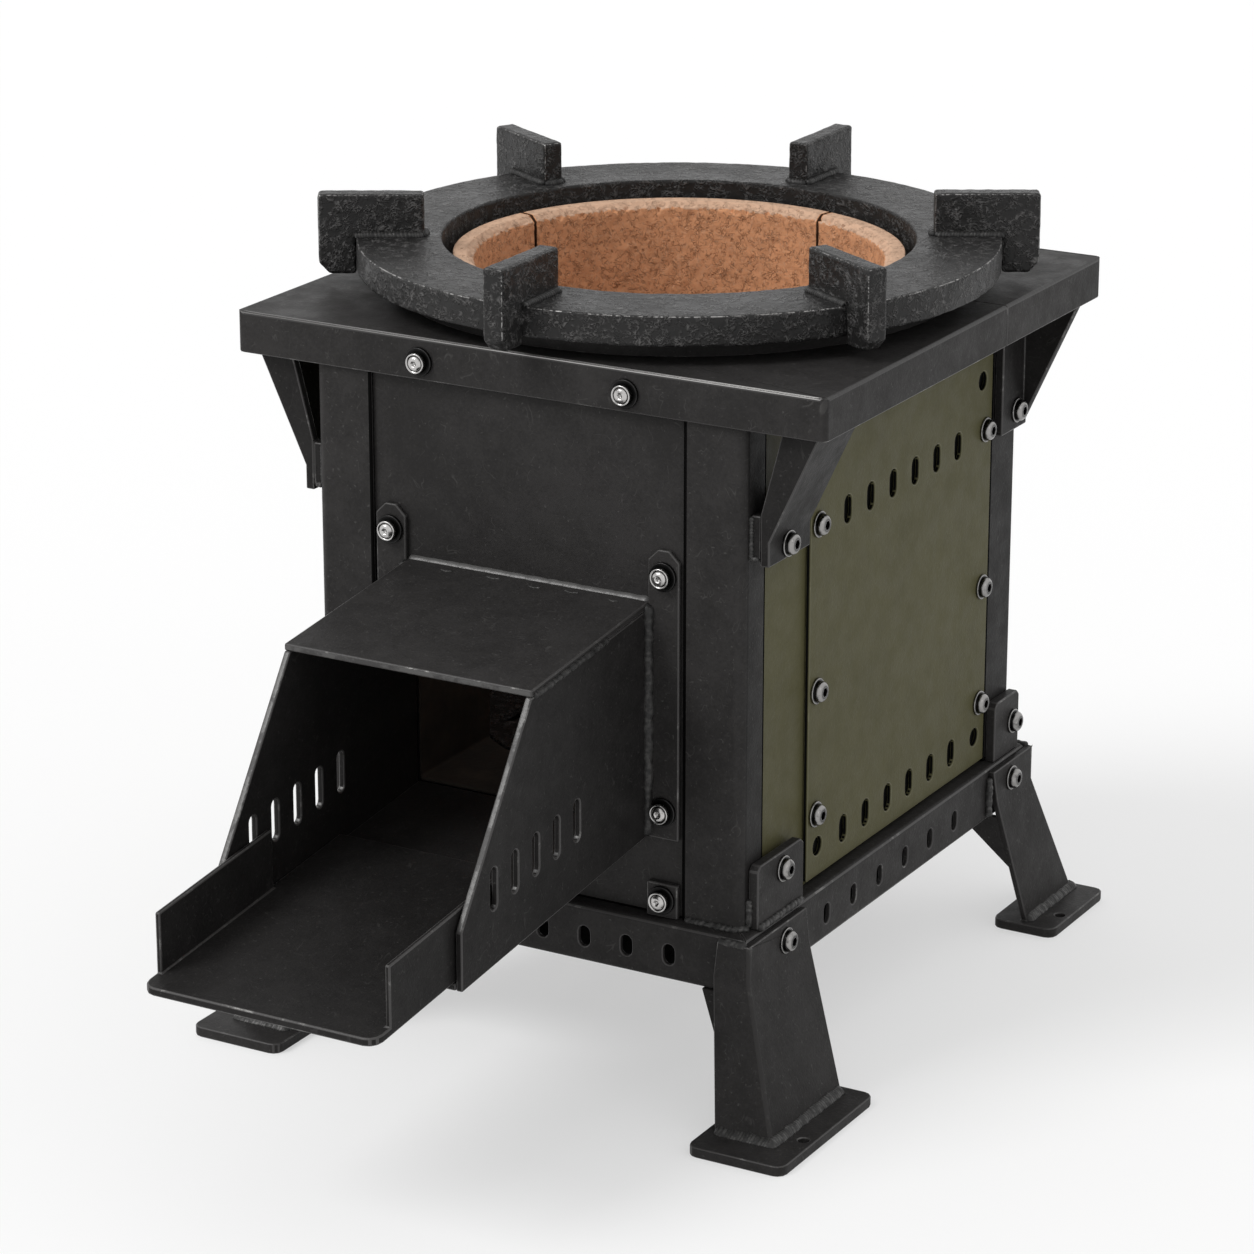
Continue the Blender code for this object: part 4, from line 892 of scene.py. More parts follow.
@dataclass
class Plate:
    """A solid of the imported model, merged and with its edges eased.

    Attributes:
        node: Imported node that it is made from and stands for.
        coat: Finish of its faces.
        edge: Finish of its eased edges.
        ease: Width of the eased edges.
        folds: Paths of bent edges, each a run of points.
        fold: Width of the bent edges.
        bend: Finish of its bent edges.
        apart: Directions of the faces that have another finish.
        other: Finish of those faces.
        split: Whether hollow faces are cut into bulging ones.
        body: Body that it moves with.
    """

    node: str
    coat: Finish
    edge: Finish
    ease: float = 0.0009
    folds: Sequence[np.ndarray] = ()
    fold: float = 0.0024
    bend: Finish = BLACK_FOLD
    apart: Sequence[Point] = ()
    other: Finish = GROUND
    split: bool = True
    body: str = STOVE

    def merged(self) -> bpy.types.Mesh:
        """The node's mesh with its triangles joined and its flat faces made whole.

        Returns:
            A mesh whose bent edges carry a bevel weight.
        """
        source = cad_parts[self.node].data
        corners = np.empty(len(source.loops), int)
        source.loops.foreach_get("vertex_index", corners)
        mesh = bpy.data.meshes.new(f"{self.node}_eased")
        mesh.from_pydata(places_of(source).tolist(), [], corners.reshape(-1, 3).tolist())
        work = bmesh.new()
        work.from_mesh(mesh)
        bmesh.ops.remove_doubles(work, verts=work.verts, dist=MERGE)
        bmesh.ops.dissolve_limit(work, angle_limit=math.radians(0.5), verts=work.verts, edges=work.edges)
        if self.split:
            bmesh.ops.connect_verts_concave(work, faces=work.faces)
        work.to_mesh(mesh)
        work.free()
        if self.folds:
            self.weigh(mesh)
        return mesh

    def weigh(self, mesh: bpy.types.Mesh) -> None:
        """Gives full bevel weight to the edges that lie along a fold.

        Args:
            mesh: Merged mesh of the plate.
        """
        places = places_of(mesh)
        ends = np.empty(len(mesh.edges) * 2, int)
        mesh.edges.foreach_get("vertices", ends)
        weight = np.zeros(len(mesh.edges), np.float32)
        for path in self.folds:
            near = np.zeros(len(mesh.edges), bool)
            for start, end in zip(path[:-1], path[1:]):
                run = end - start
                share = np.clip((places - start) @ run / (run @ run), 0, 1)
                close = np.linalg.norm(places - start - share[:, None] * run, axis=1) < 0.0006
                near |= close[ends].reshape(-1, 2).all(1)
            weight[near] = 1.0
        mesh.attributes.new("bevel_weight_edge", "FLOAT", "EDGE").data.foreach_set("value", weight)

    def build(self) -> Piece:
        """Eases the merged copy and hands it to the frame."""
        mesh = self.merged()
        piece = new_piece(mesh.name, mesh)
        for finish in (self.coat, self.edge, self.bend, self.other):
            mesh.materials.append(finish.material())
        if self.apart:
            normals = np.empty(len(mesh.polygons) * 3)
            mesh.polygons.foreach_get("normal", normals)
            facing = (normals.reshape(-1, 3) @ np.array(self.apart).T).max(1)
            mesh.polygons.foreach_set("material_index", np.where(facing > 0.95, 3, 0).astype(np.int32))
        if self.folds:
            self.bevel(piece, "WEIGHT", self.fold, 4, 2)
        self.bevel(piece, "ANGLE", self.ease, 2, 1)
        shading = piece.modifiers.new("shading", "WEIGHTED_NORMAL")
        shading.weight = 60
        return settle(piece, self.body, self.coat.slot, self.node)

    def bevel(self, piece: Piece, limit: str, width: float, segments: int, material: int) -> None:
        """Adds a bevel to the edges that a limit picks.

        Args:
            piece: Piece to ease.
            limit: WEIGHT for the bent edges, ANGLE for all sharp ones.
            width: Width of the bevel.
            segments: Faces across it.
            material: Material slot of its faces.
        """
        eased = piece.modifiers.new(limit.lower(), "BEVEL")
        eased.limit_method = limit
        eased.angle_limit = math.radians(30)
        eased.width = width
        eased.segments = segments
        eased.material = material
        eased.use_clamp_overlap = False
        eased.loop_slide = False


class Facing(Enum):
    """Way that a bolt's head faces."""

    FRONT = (0.0, -1.0, 0.0)
    LEFT = (-1.0, 0.0, 0.0)
    RIGHT = (1.0, 0.0, 0.0)

    def axes(self) -> np.ndarray:
        """Rows of across, up and outward directions."""
        out = np.array(self.value)
        return np.stack((np.cross(UP, out), UP, out))


class Shine(Enum):
    """Finishes of a bolt's head and its washer."""

    BRIGHT = (BRIGHT, BLACK_WASHER)
    DARK = (GUNMETAL, GUNMETAL)


@dataclass
class Bolt:
    """Button-head socket bolt on a washer.

    Attributes:
        name: Name of the piece.
        place: Middle of the washer's seat, from the axis.
        facing: Way that the head faces.
        shine: Finish.
        nodes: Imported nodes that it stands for.
    """

    name: str
    place: Point
    facing: Facing
    shine: Shine = Shine.DARK
    nodes: tuple[str, ...] = ()
    head: float = 0.0080
    washer: float = 0.0098
    sheet: float = 0.0018
    crown: float = 0.0054
    socket: float = 0.0033
    sunk: float = 0.0032

    def seat(self) -> np.ndarray:
        """Rings of the washer, from under it to the head's foot."""
        # Last column: dirt and painted shade, darkest in the crevice at the head's foot.
        return np.array(((self.washer, -0.001, 0, 0.7), (self.washer, self.sheet - 0.0004, 0, 0.2),
                         (self.washer - 0.0004, self.sheet, 0, 0.0), (self.washer - 0.0008, self.sheet, 0, 0.5),
                         (self.head + 0.0005, self.sheet, 0, 0.7), (self.head, self.sheet, 0, 1.0)))

    def rings(self) -> np.ndarray:
        """Radius, height, sixness, and dirt and painted shade of each ring, from under the washer to the socket's
        floor.
        """
        dome = np.linspace(0, 1, 8)
        land = self.socket * 1.30
        top = self.sheet + self.crown
        radius = land + (self.head - land) * np.cos(dome * math.pi / 2)
        height = self.sheet + 0.0016 + (self.crown - 0.0016) * np.sin(dome * math.pi / 2)
        # Painted shade at the dome's foot and crown, leaving a painted bright band across its middle.
        head = np.stack((radius, height, 0 * dome, 0.75 * np.abs(1 - 2 * dome) ** 1.5), -1)
        well = ((self.socket * 1.12, top, 0.6, 0.5), (self.socket, top - 0.0003, 1, 0.9),
                (self.socket, top - self.sunk, 1, 1.0), (self.socket * 0.5, top - self.sunk - 0.0003, 1, 0.7),
                (0.0, top - self.sunk - 0.0005, 0, 0.5))
        return np.vstack((self.seat(), head, well))

    def build(self) -> Piece:
        """Turns the rings about the bolt's axis; a ring's radius goes from a circle to a hexagon."""
        radius, height, sixness, grime_and_shade = self.rings().T[:, :, None]
        angle = np.linspace(0, math.tau, 48, endpoint=False)
        hexagon = math.cos(math.pi / 6) / np.cos(angle % (math.pi / 3) - math.pi / 6)
        across = radius * (1 + sixness * (hexagon - 1))
        local = np.stack((across * np.cos(angle), across * np.sin(angle), height + 0 * angle), -1)
        draft = Draft()
        draft.grid(AXIS + np.array(self.place) + local @ self.facing.axes(), grime_and_shade, round_columns=True)
        draft.cap(AXIS + np.array(self.place) + local[0] @ self.facing.axes())
        piece = draft.finish(self.name)
        self.dress(piece)
        return settle(piece, STOVE, BRIGHT.slot, *self.nodes)

    def dress(self, piece: Piece) -> None:
        """Gives the head and the washer their finishes, by each face's distance from the bolt's axis.

        Args:
            piece: Finished bolt.
        """
        for finish in self.shine.value:
            piece.data.materials.append(finish.material())
        centres = np.empty(len(piece.data.polygons) * 3)
        piece.data.polygons.foreach_get("center", centres)
        local = (centres.reshape(-1, 3) - AXIS - self.place) @ self.facing.axes().T
        washer = (np.hypot(local[:, 0], local[:, 1]) > self.head) | (local[:, 2] < self.sheet * 0.9)
        piece.data.polygons.foreach_set("material_index", washer.astype(np.int32))
        shading = piece.modifiers.new("shading", "WEIGHTED_NORMAL")
        shading.weight = 60


@dataclass
class RimmedBolt(Bolt):
    """Bolt whose flat head has a raised rim, a groove and a low dome with a small socket."""

    shine: Shine = Shine.BRIGHT
    head: float = 0.0074
    washer: float = 0.0106
    sheet: float = 0.0024
    crown: float = 0.0062
    socket: float = 0.0019

    def rings(self) -> np.ndarray:
        """Rings as shares of the head's radius and crown, with their sixness, and dirt and painted shade that
        leave a painted bright rim and dome between dark rings.
        """
        shares = np.array(((1.00, 0.55, 0, 0.5), (1.00, 0.72, 0, 0.0), (0.96, 0.80, 0, 0.0), (0.86, 0.80, 0, 0.0),
                           (0.80, 0.68, 0, 0.9), (0.74, 0.66, 0, 0.9), (0.70, 0.80, 0, 0.1), (0.58, 0.93, 0, 0.0),
                           (0.40, 1.00, 0, 0.0), (0.28, 0.98, 1, 0.1), (0.26, 0.72, 1, 0.5), (0.0, 0.70, 0, 0.3)))
        return np.vstack((self.seat(), shares * (self.head, self.crown, 1, 1) + (0, self.sheet, 0, 0)))


class Section(Enum):
    """Cross-sections of a weld bead."""

    ROUND = "round"
    FILLET = "fillet"

    def points(self) -> np.ndarray:
        """Points round the section, as shares of the bead's size.

        A round one is a circle. A fillet's face runs from its outer toe (1, 0) to its upper toe (-0.35, 1)
        with a bulge of sin(pi t), and its back is sunk in the pieces that it joins.

        Returns:
            Outward and upward share of each point, shape (n, 2).
        """
        if self is Section.ROUND:
            angle = np.linspace(0, math.tau, 14, endpoint=False)
            return np.stack((np.cos(angle), np.sin(angle)), -1)
        t = np.linspace(0, 1, 10)
        bulge = 0.16 * np.sin(math.pi * t)
        face = np.stack((1 - 1.35 * t + 0.6 * bulge, t + 0.8 * bulge), -1)
        return np.vstack((face, (-0.7, 0.6), (-0.7, -0.25), (0.6, -0.25)))


@dataclass
class Weld:
    """Rippled weld beads, some runs of them in one piece.

    Attributes:
        name: Name of the piece.
        runs: Path of each bead, from the axis.
        radius: Size of the beads.
        skin: Finish.
        section: Cross-section.
        body: Body that they ride on.
        pitch: Length of a ripple.
        ripple: Depth of the ripples, as a share of the size.
        seed: Seed of their unevenness.
    """

    name: str
    runs: Sequence[Sequence[Point]]
    radius: float
    skin: Finish = WELD
    section: Section = Section.ROUND
    body: str = STOVE
    pitch: float = 0.0026
    ripple: float = 0.16
    seed: int = 1

    def bead(self, run: Sequence[Point]) -> tuple[np.ndarray, np.ndarray]:
        """Section along a run: its size times a scallop of the length, lagging outwards, and a noise.

        Args:
            run: Corners of the path, from the axis.

        Returns:
            Grid of places and the height of the ripple at each.
        """
        step = self.pitch / 5
        path = AXIS + even_points(np.array(run, float), step)
        along = np.gradient(path, axis=0)
        along /= np.linalg.norm(along, axis=1, keepdims=True)
        guide = UP if abs(along[0, 2]) < 0.8 else np.array((0.6, -0.8, 0.0))
        side = np.cross(along, guide)
        side /= np.linalg.norm(side, axis=1, keepdims=True)
        out, up = self.section.points().T[..., None]
        ring = side[:, None] * out + np.cross(side, along)[:, None] * up
        length = np.arange(len(path))[:, None] * step
        wobble = 0.5 * smooth_noise(path, 0.014, self.seed + 7)[:, None]
        crest = np.abs(np.sin(math.pi * (length / self.pitch + wobble + 0.4 * out[:, 0] ** 2))) ** 0.7
        uneven = smooth_noise(path[:, None] + 0.4 * self.radius * ring, 0.010, self.seed)
        ends = np.minimum(length, length[::-1]) / self.radius
        taper = np.sqrt(np.clip(1 - (1 - np.clip(ends, 0, 1)) ** 2, 0, 1))
        size = self.radius * taper * (0.86 + self.ripple * crest + 0.12 * uneven)
        return path[:, None] + ring * size[..., None], crest * taper

    def build(self) -> Piece:
        """Makes all the beads one piece."""
        draft = Draft()
        for run in self.runs:
            places, crest = self.bead(run)
            draft.grid(places, crest, round_columns=True)
        piece = draft.finish(self.name)
        piece.data.materials.append(self.skin.material())
        return settle(piece, self.body, self.skin.slot)


@dataclass
class Gusset:
    """Flat three-cornered stay between a rail and a leg.

    Attributes:
        name: Name of the piece.
        corners: Its corners on one face, from the axis.
        thick: Thickness, along Y.
    """

    name: str
    corners: np.ndarray
    thick: float = 0.0055

    def build(self) -> Piece:
        """Draws the corners out along Y, closes both ends and eases the edges."""
        draft = Draft()
        face = AXIS + self.corners
        draft.grid(np.stack((face, face + (0.0, self.thick, 0.0))), round_columns=True)
        for loop in (face, face + (0.0, self.thick, 0.0)):
            draft.cap(loop)
        piece = draft.finish(self.name)
        piece.data.materials.append(BLACK.material())
        eased = piece.modifiers.new("ease", "BEVEL")
        eased.width, eased.segments = 0.0006, 2
        shading = piece.modifiers.new("shading", "WEIGHTED_NORMAL")
        shading.weight = 60
        return settle(piece, STOVE, BLACK.slot)


# Sub-assemblies


@dataclass
class TopPlate:
    """Folded top plate in two parts, with its brackets and the bolts on its skirt."""

    half_width: float = 0.240
    half_depth: float = 0.228
    top: float = 0.547
    skirt: float = 0.031
    bolt_across: float = 0.084
    bolt_height: float = 0.5295
    tab: tuple[Point, Point] = ((0.1766, -0.2147, 0.4205), (0.1835, -0.2147, 0.4515))

    def rim(self) -> list[np.ndarray]:
        """Paths of the bent edges: round the top, and down each corner."""
        corners = np.array([(x * self.half_width, y * self.half_depth, self.top)
                            for x, y in ((-1, -1), (1, -1), (1, 1), (-1, 1), (-1, -1))]) + AXIS
        return [corners, *(np.stack((corner, corner - self.skirt * UP)) for corner in corners[:4])]

    def build(self) -> None:
        """Builds the plates, the brackets and the bolts."""
        for end, _ in ENDS:
            name = f"top_plate_{end}"
            Plate(name, BLACK, BLACK_EDGE, folds=self.rim(), bend=TOP_FOLD_HIGHLIGHT, split=False).build()
        for side, sign in SIDES:
            node = f"skirt_bolt_{side}"
            place = (sign * self.bolt_across, -self.half_depth, self.bolt_height)
            RimmedBolt(f"{node}_head", place, Facing.FRONT, nodes=(node,)).build()
            for end, _ in ENDS:
                # The brackets take the darker, painted-shade coat.
                Plate(f"bracket_{end}_{side}", SHADED_BLACK, BLACK_EDGE, 0.0011).build()
            low, high = self.tab[0], self.tab[1]
            runs = [[(sign * low[0], low[1], low[2]), (sign * high[0], low[1], low[2])],
                    [(sign * low[0], low[1], low[2]), (sign * low[0], low[1], high[2])]]
            Weld(f"bracket_tab_weld_{side}", runs, 0.0021, PALE_WELD, seed=12 + sign).build()


@dataclass
class PotRing:
    """Cast pot ring with six lugs welded on it."""

    hole: float = 0.175
    rim: float = 0.238
    low: float = 0.562
    high: float = 0.584
    spigot: float = 0.179
    spigot_low: float = 0.556
    lugs: int = 6
    lug_half: float = 0.008
    lug_inner: float = 0.188
    layers: tuple[tuple[float, float, int], ...] = ((0.030, 0.00018, 3), (0.009, 0.00012, 4))

    def ring(self) -> Piece:
        """The ring: an eased outline turned about the axis, then roughened."""
        outline = eased_outline(
            ((self.hole, self.spigot_low), (self.spigot, self.spigot_low), (self.spigot, self.low),
             (self.rim, self.low), (self.rim, self.high), (self.hole, self.high)), 0.0016)
        profile = even_points(outline, 0.0014, closed=True)
        draft = Draft()
        draft.grid(turned(profile, np.linspace(0, math.tau, 640, endpoint=False)), round_rows=True,
                   round_columns=True)
        piece = draft.finish("pot_ring_casting")
        away = (places_of(piece.data) - AXIS) * (1, 1, 0)
        roughen(piece, self.layers)
        mark_edges(piece, away / np.linalg.norm(away, axis=1, keepdims=True))
        return piece

    def lug(self, number: int) -> Piece:
        """One lug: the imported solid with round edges, remeshed evenly and roughened.

        Args:
            number: Lug, from 1 in front, counter-clockwise.

        Returns:
            The lug.
        """
        node = f"pot_lug_{number}"
        rough = new_piece(f"{node}_rough", Plate(node, IRON, IRON).merged())
        rounded = rough.modifiers.new("round", "BEVEL")
        rounded.width, rounded.segments, rounded.limit_method = 0.0021, 3, "ANGLE"
        even = rough.modifiers.new("even", "REMESH")
        even.mode, even.voxel_size = "VOXEL", 0.0011
        mesh = bpy.data.meshes.new_from_object(rough.evaluated_get(bpy.context.evaluated_depsgraph_get()))
        bpy.data.objects.remove(rough)
        mesh.name = f"{node}_casting"
        piece = new_piece(mesh.name, mesh)
        angle = math.tau * (number - 1) / self.lugs - math.pi / 2
        roughen(piece, self.layers)
        mark_edges(piece, np.array((math.cos(angle), math.sin(angle), 0.0)), 0.85)
        return piece

    def seams(self, number: int) -> Weld:
        """Beads along both sides of a lug, over the ring and down its rim, and across its inner end.

        Args:
            number: Number of the lug.

        Returns:
            The beads as one weld.
        """
        angle = math.tau * (number - 1) / self.lugs - math.pi / 2
        away = np.array((math.cos(angle), math.sin(angle), 0.0))
        across = np.cross(UP, away)
        runs = []
        for sign in (-1, 1):
            side = sign * (self.lug_half + 0.0006) * across
            runs.append([side + away * radius + UP * height for radius, height in (
                (self.lug_inner, self.high + 0.0006), (self.rim + 0.0005, self.high + 0.0006),
                (self.rim + 0.0005, self.low + 0.003))])
        inner = away * (self.lug_inner - 0.0004) + UP * (self.high + 0.0004)
        runs.append([inner - across * self.lug_half, inner + across * self.lug_half])
        return Weld(f"pot_lug_{number}_weld", runs, 0.0034, body=POT_RING, seed=20 + number)

    def build(self) -> None:
        """Builds the ring, the lugs and their welds."""
        ring = self.ring()
        ring.data.materials.append(IRON.material())
        settle(ring, POT_RING, IRON.slot, "pot_ring")
        for number in range(1, self.lugs + 1):
            lug = self.lug(number)
            lug.data.materials.clear()
            lug.data.materials.append(IRON.material())
            settle(lug, POT_RING, IRON.slot, f"pot_lug_{number}")
            self.seams(number).build()


@dataclass
class Riser:
    """Riser of four curved firebricks, with its collar and linings."""

    inner: float = 0.152
    outer: float = 0.167
    low: float = 0.3853
    high: float = 0.572
    chamfer: float = 0.005
    gap: float = 0.0005
    bricks: int = 4

    def profile(self) -> np.ndarray:
        """Radius, height and rim value round a brick's section, dense where it is seen."""
        runs = (
            (self.inner, self.low, self.inner, self.high - self.chamfer, 110, 0.0, 0.0),
            (self.inner, self.high - self.chamfer, self.inner + self.chamfer, self.high, 9, 1.0, 1.0),
            (self.inner + self.chamfer, self.high, self.outer, self.high, 9, 1.0, 1.0),
            (self.outer, self.high, self.outer, self.low, 12, 1.0, 0.0),
            (self.outer, self.low, self.inner, self.low, 6, 0.0, 0.0),
        )
        return np.vstack([np.linspace((r0, z0, m0), (r1, z1, m1), count, endpoint=False)
                          for r0, z0, r1, z1, count, m0, m1 in runs])

    def brick(self, number: int) -> Piece:
        """One brick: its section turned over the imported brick's angles, chipped at the rim.

        Args:
            number: Brick, from 1.

        Returns:
            The brick.
        """
        away = places_of(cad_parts[f"riser_brick_{number}"].data) - AXIS
        middle = math.atan2(away[:, 1].mean(), away[:, 0].mean())
        turns = np.arctan2(away[:, 1], away[:, 0]) - middle
        reach = np.abs((turns + math.pi) % math.tau - math.pi).max() - self.gap / self.inner
        angles = middle + np.linspace(-reach, reach, 150)
        radius, height, rim = self.profile().T
        places = turned(np.stack((radius, height), -1), angles)
        draft = Draft()
        draft.grid(places, rim, round_columns=True)
        for loop in (places[0], places[-1]):
            draft.cap(loop)
        piece = draft.finish(f"riser_brick_{number}_fired")
        away = places_of(piece.data) - AXIS
        turns = np.arctan2(away[:, 1], away[:, 0]) - middle
        self.chip(piece, number, np.abs((turns + math.pi) % math.tau - math.pi) > reach - 0.001)
        return piece

    def chip(self, piece: Piece, number: int, joint: np.ndarray) -> None:
        """Roughens a brick's inner face and rim, and pulls its rim's edge back in small chips.

        Args:
            piece: The brick.
            number: Seed of its unevenness.
            joint: Whether each vertex lies on a joint, which is marked as dark.
        """
        places = places_of(piece.data)
        radius = np.hypot(*(places - AXIS)[:, :2].T)
        seen = np.clip((self.outer - 0.002 - radius) / 0.004, 0, 1)
        roughen(piece, ((0.013, 0.00035, 30 + number), (0.006, 0.00022, 40 + number)), seen)
        places = places_of(piece.data)
        edge = np.hypot(radius - self.inner, places[:, 2] - self.high + self.chamfer)
        chips = np.clip(smooth_noise(places, 0.0065, 50 + number), 0, 1) ** 1.5 * np.exp(-(edge / 0.0024) ** 2)
        away = (places - AXIS) * (1, 1, 0) / radius[:, None]
        places += chips[:, None] * 0.0024 * (away - UP)
        piece.data.vertices.foreach_set("co", places.ravel())
        height = places[:, 2] + 0.0011 * smooth_noise(places, 0.005, 60 + number)
        rim = np.clip((height - self.high + self.chamfer + 0.0006) / 0.0010, 0, 1)
        set_marks(piece.data, np.where(joint, -1.0, rim))

    def build(self) -> None:
        """Builds the bricks, the collar and the linings."""
        for number in range(1, self.bricks + 1):
            brick = self.brick(number)
            brick.data.materials.append(CLAY.material())
            settle(brick, STOVE, CLAY.slot, f"riser_brick_{number}")
        Plate("ring_collar", BLACK, BLACK_EDGE).build()
        Plate("burn_chamber", CASTABLE_SOOT_AND_SHADE, CASTABLE_SOOT_AND_SHADE, 0.0022).build()
        Plate("insulation_fill", WOOL, WOOL, 0.0015).build()
        Plate("fire_grate", IRON, IRON, 0.0011).build()


@dataclass
class Body:
    """Bolted body: posts, panels, and the clips that hold it to the base."""

    panel_face: float = 0.1770
    clip_face: float = 0.1843
    panel_rows: tuple[float, ...] = (0.418, 0.292, 0.197)
    panel_columns: tuple[float, ...] = (-0.113, 0.163)
    bracket_bolts: tuple[tuple[str, Point], ...] = (("front", (0.1913, -0.187, 0.4265)),
                                                    ("rear", (0.1833, 0.2055, 0.424)))
    clip_bolts: tuple[tuple[str, float, float], ...] = (("front", -0.176, 0.178), ("rear", 0.212, 0.168))
    post: Point = (0.176, 0.2237, 0.1442)

    def build(self) -> None:
        """Builds the panels, posts and clips, and their bolts on both sides."""
        Plate("front_panel", BLACK, BLACK_JOINT_SHADE, 0.0018).build()
        Plate("back_panel", BLACK, BLACK_EDGE).build()
        for side, sign in SIDES:
            Plate(f"side_panel_{side}", OLIVE_COVERED, OLIVE_EDGE).build()
            Plate(f"access_panel_{side}", OLIVE_PIERCED, OLIVE_EDGE, 0.0008).build()
            for end, _ in ENDS:
                # Painted shade: the posts' side faces take the darker coat, and their edges the near-black joint
                # finish.
                Plate(f"corner_post_{end}_{side}", BLACK, BLACK_JOINT_SHADE, 0.0026, apart=[(1, 0, 0), (-1, 0, 0)],
                      other=SHADED_BLACK).build()
                Plate(f"corner_clip_{end}_{side}", BLACK, BLACK_EDGE, 0.0011).build()
            self.bolts(side, sign)
            self.seams(side, sign).build()

    def seams(self, side: str, sign: int) -> Weld:
        """Beads at the foot of one side's posts, and under its front clip.

        Args:
            side: Name of the side.
            sign: -1 for the left side, 1 for the right.

        Returns:
            The beads as one weld.
        """
        x, y, z = self.post
        flip = np.array((sign, 1, 1))
        runs = [np.array(((x - 0.046, -y, z), (x - 0.006, -y, z), (x, 0.006 - y, z), (x, 0.009 - y, z))) * flip,
                np.array(((self.clip_face, -0.213, z), (self.clip_face, -0.145, z))) * flip,
                np.array(((x + 0.001, -0.2140, z), (x + 0.001, -0.2140, z + 0.022))) * flip]
        return Weld(f"post_weld_{side}", runs, 0.0028, PALE_WELD, pitch=0.005, ripple=0.22, seed=33 + sign)

    def bolts(self, side: str, sign: int) -> None:
        """Builds the bolts of one side.

        Args:
            side: Name of the side.
            sign: -1 for the left side, 1 for the right.
        """
        facing = Facing.LEFT if sign < 0 else Facing.RIGHT
        for row, z in enumerate(self.panel_rows, 1):
            for column, y in enumerate(self.panel_columns, 1):
                place = (sign * self.panel_face, y, z)
                Bolt(f"panel_bolt_{side}_{row}_{column}", place, facing).build()
        for end, (x, y, z) in self.bracket_bolts:
            Bolt(f"bracket_bolt_{end}_{side}", (sign * x, y, z), facing).build()
        for end, y, z in self.clip_bolts:
            Bolt(f"clip_bolt_{end}_{side}", (sign * self.clip_face, y, z), facing).build()


@dataclass
class Leg:
    """One splayed leg with its foot, bolt and welds.

    Attributes:
        end: End of the stove that it carries.
        foot: Where its bent edge meets the foot plate, on the right of the axis.
        side_depth: Depth of its side on the foot plate.
        flange_width: Width of its flange on the foot plate.
        bolt: Place of its bolt along Y.
        stay: Corners of its gusset, on the right of the axis.
        bead: Place along Y of the bead up its inner edge.
    """

    end: str
    foot: Point
    side_depth: float
    flange_width: float
    bolt: float
    stay: tuple[Point, Point, Point]
    bead: float
    top: Point = (0.1908, 0.2385, 0.140)
    bend: float = 0.113
    bolt_height: float = 0.126
    top_width: float = 0.026

    def build(self, side: str, across: int) -> None:
        """Builds the leg of one side.

        Args:
            side: Name of the side.
            across: Sign of the side along X.
        """
        along = -1 if self.bolt < 0 else 1
        corner = f"{self.end}_{side}"
        x, y, z = self.top
        fold = AXIS + np.array(((x, y, z), (x, y, self.bend), self.foot)) * (across, along, 1)
        Plate(f"leg_{corner}", BLACK, BLACK_EDGE, folds=[fold]).build()
        facing = Facing.LEFT if across < 0 else Facing.RIGHT
        place = (across * x, self.bolt, self.bolt_height)
        Bolt(f"leg_bolt_{corner}_head", place, facing, nodes=(f"leg_bolt_{corner}",)).build()
        run = np.array(((x - self.top_width, y - 0.002, z), (x - 0.003, y - 0.002, z))) * (across, along, 1)
        edge = np.array(((x - 0.0035, self.bead, self.bend - 0.010), (x - 0.0035, self.bead, z - 0.004)))
        Weld(f"leg_top_weld_{corner}", [run, edge * (across, 1, 1)], 0.0028, PALE_WELD, pitch=0.006, ripple=0.22,
             seed=75).build()
        Gusset(f"leg_gusset_{corner}", np.array(self.stay) * (across, 1, 1)).build()
        self.foot_seam(corner, across, along).build()

    def foot_seam(self, corner: str, across: int, along: int) -> Weld:
        """Fillet round the two outer sides of the leg, where it stands on its foot.

        Args:
            corner: Name of the corner.
            across: -1 for the left side, 1 for the right.
            along: -1 or 1 for the end, along Y.

        Returns:
            The fillet.
        """
        x, y, z = self.foot
        run = np.array(((x - self.flange_width, y, z), (x, y, z), (x, y - self.side_depth, z)))
        run = (run * (across, along, 1))[:: -across * along]
        return Weld(f"foot_weld_{corner}", [run], 0.0056, PALE_WELD, Section.FILLET, ripple=0.05, seed=70)


@dataclass
class BaseFrame:
    """Base frame of channel rails on four splayed legs with welded feet."""

    legs: tuple[Leg, ...] = (
        Leg("front", (0.22702, 0.26981, 0.008), 0.1075, 0.0463, -0.1825,
            ((0.150, -0.2336, 0.0992), (0.1672, -0.2336, 0.0992), (0.1722, -0.2488, 0.062)), -0.1495),
        Leg("rear", (0.20910, 0.28185, 0.008), 0.0852, 0.0212, 0.1985,
            ((0.152, 0.1762, 0.0992), (0.1890, 0.1762, 0.0992), (0.1966, 0.1862, 0.055)), 0.1655),
    )

    def build(self) -> None:
        """Builds the rails, the hearth and the legs."""
        for rail in ("front", "rear", "left", "right"):
            Plate(f"base_rail_{rail}", BLACK, BLACK_EDGE).build()
        Plate("hearth_plate", BLACK, BLACK_EDGE).build()
        for side, across in SIDES:
            for leg in self.legs:
                leg.build(side, across)


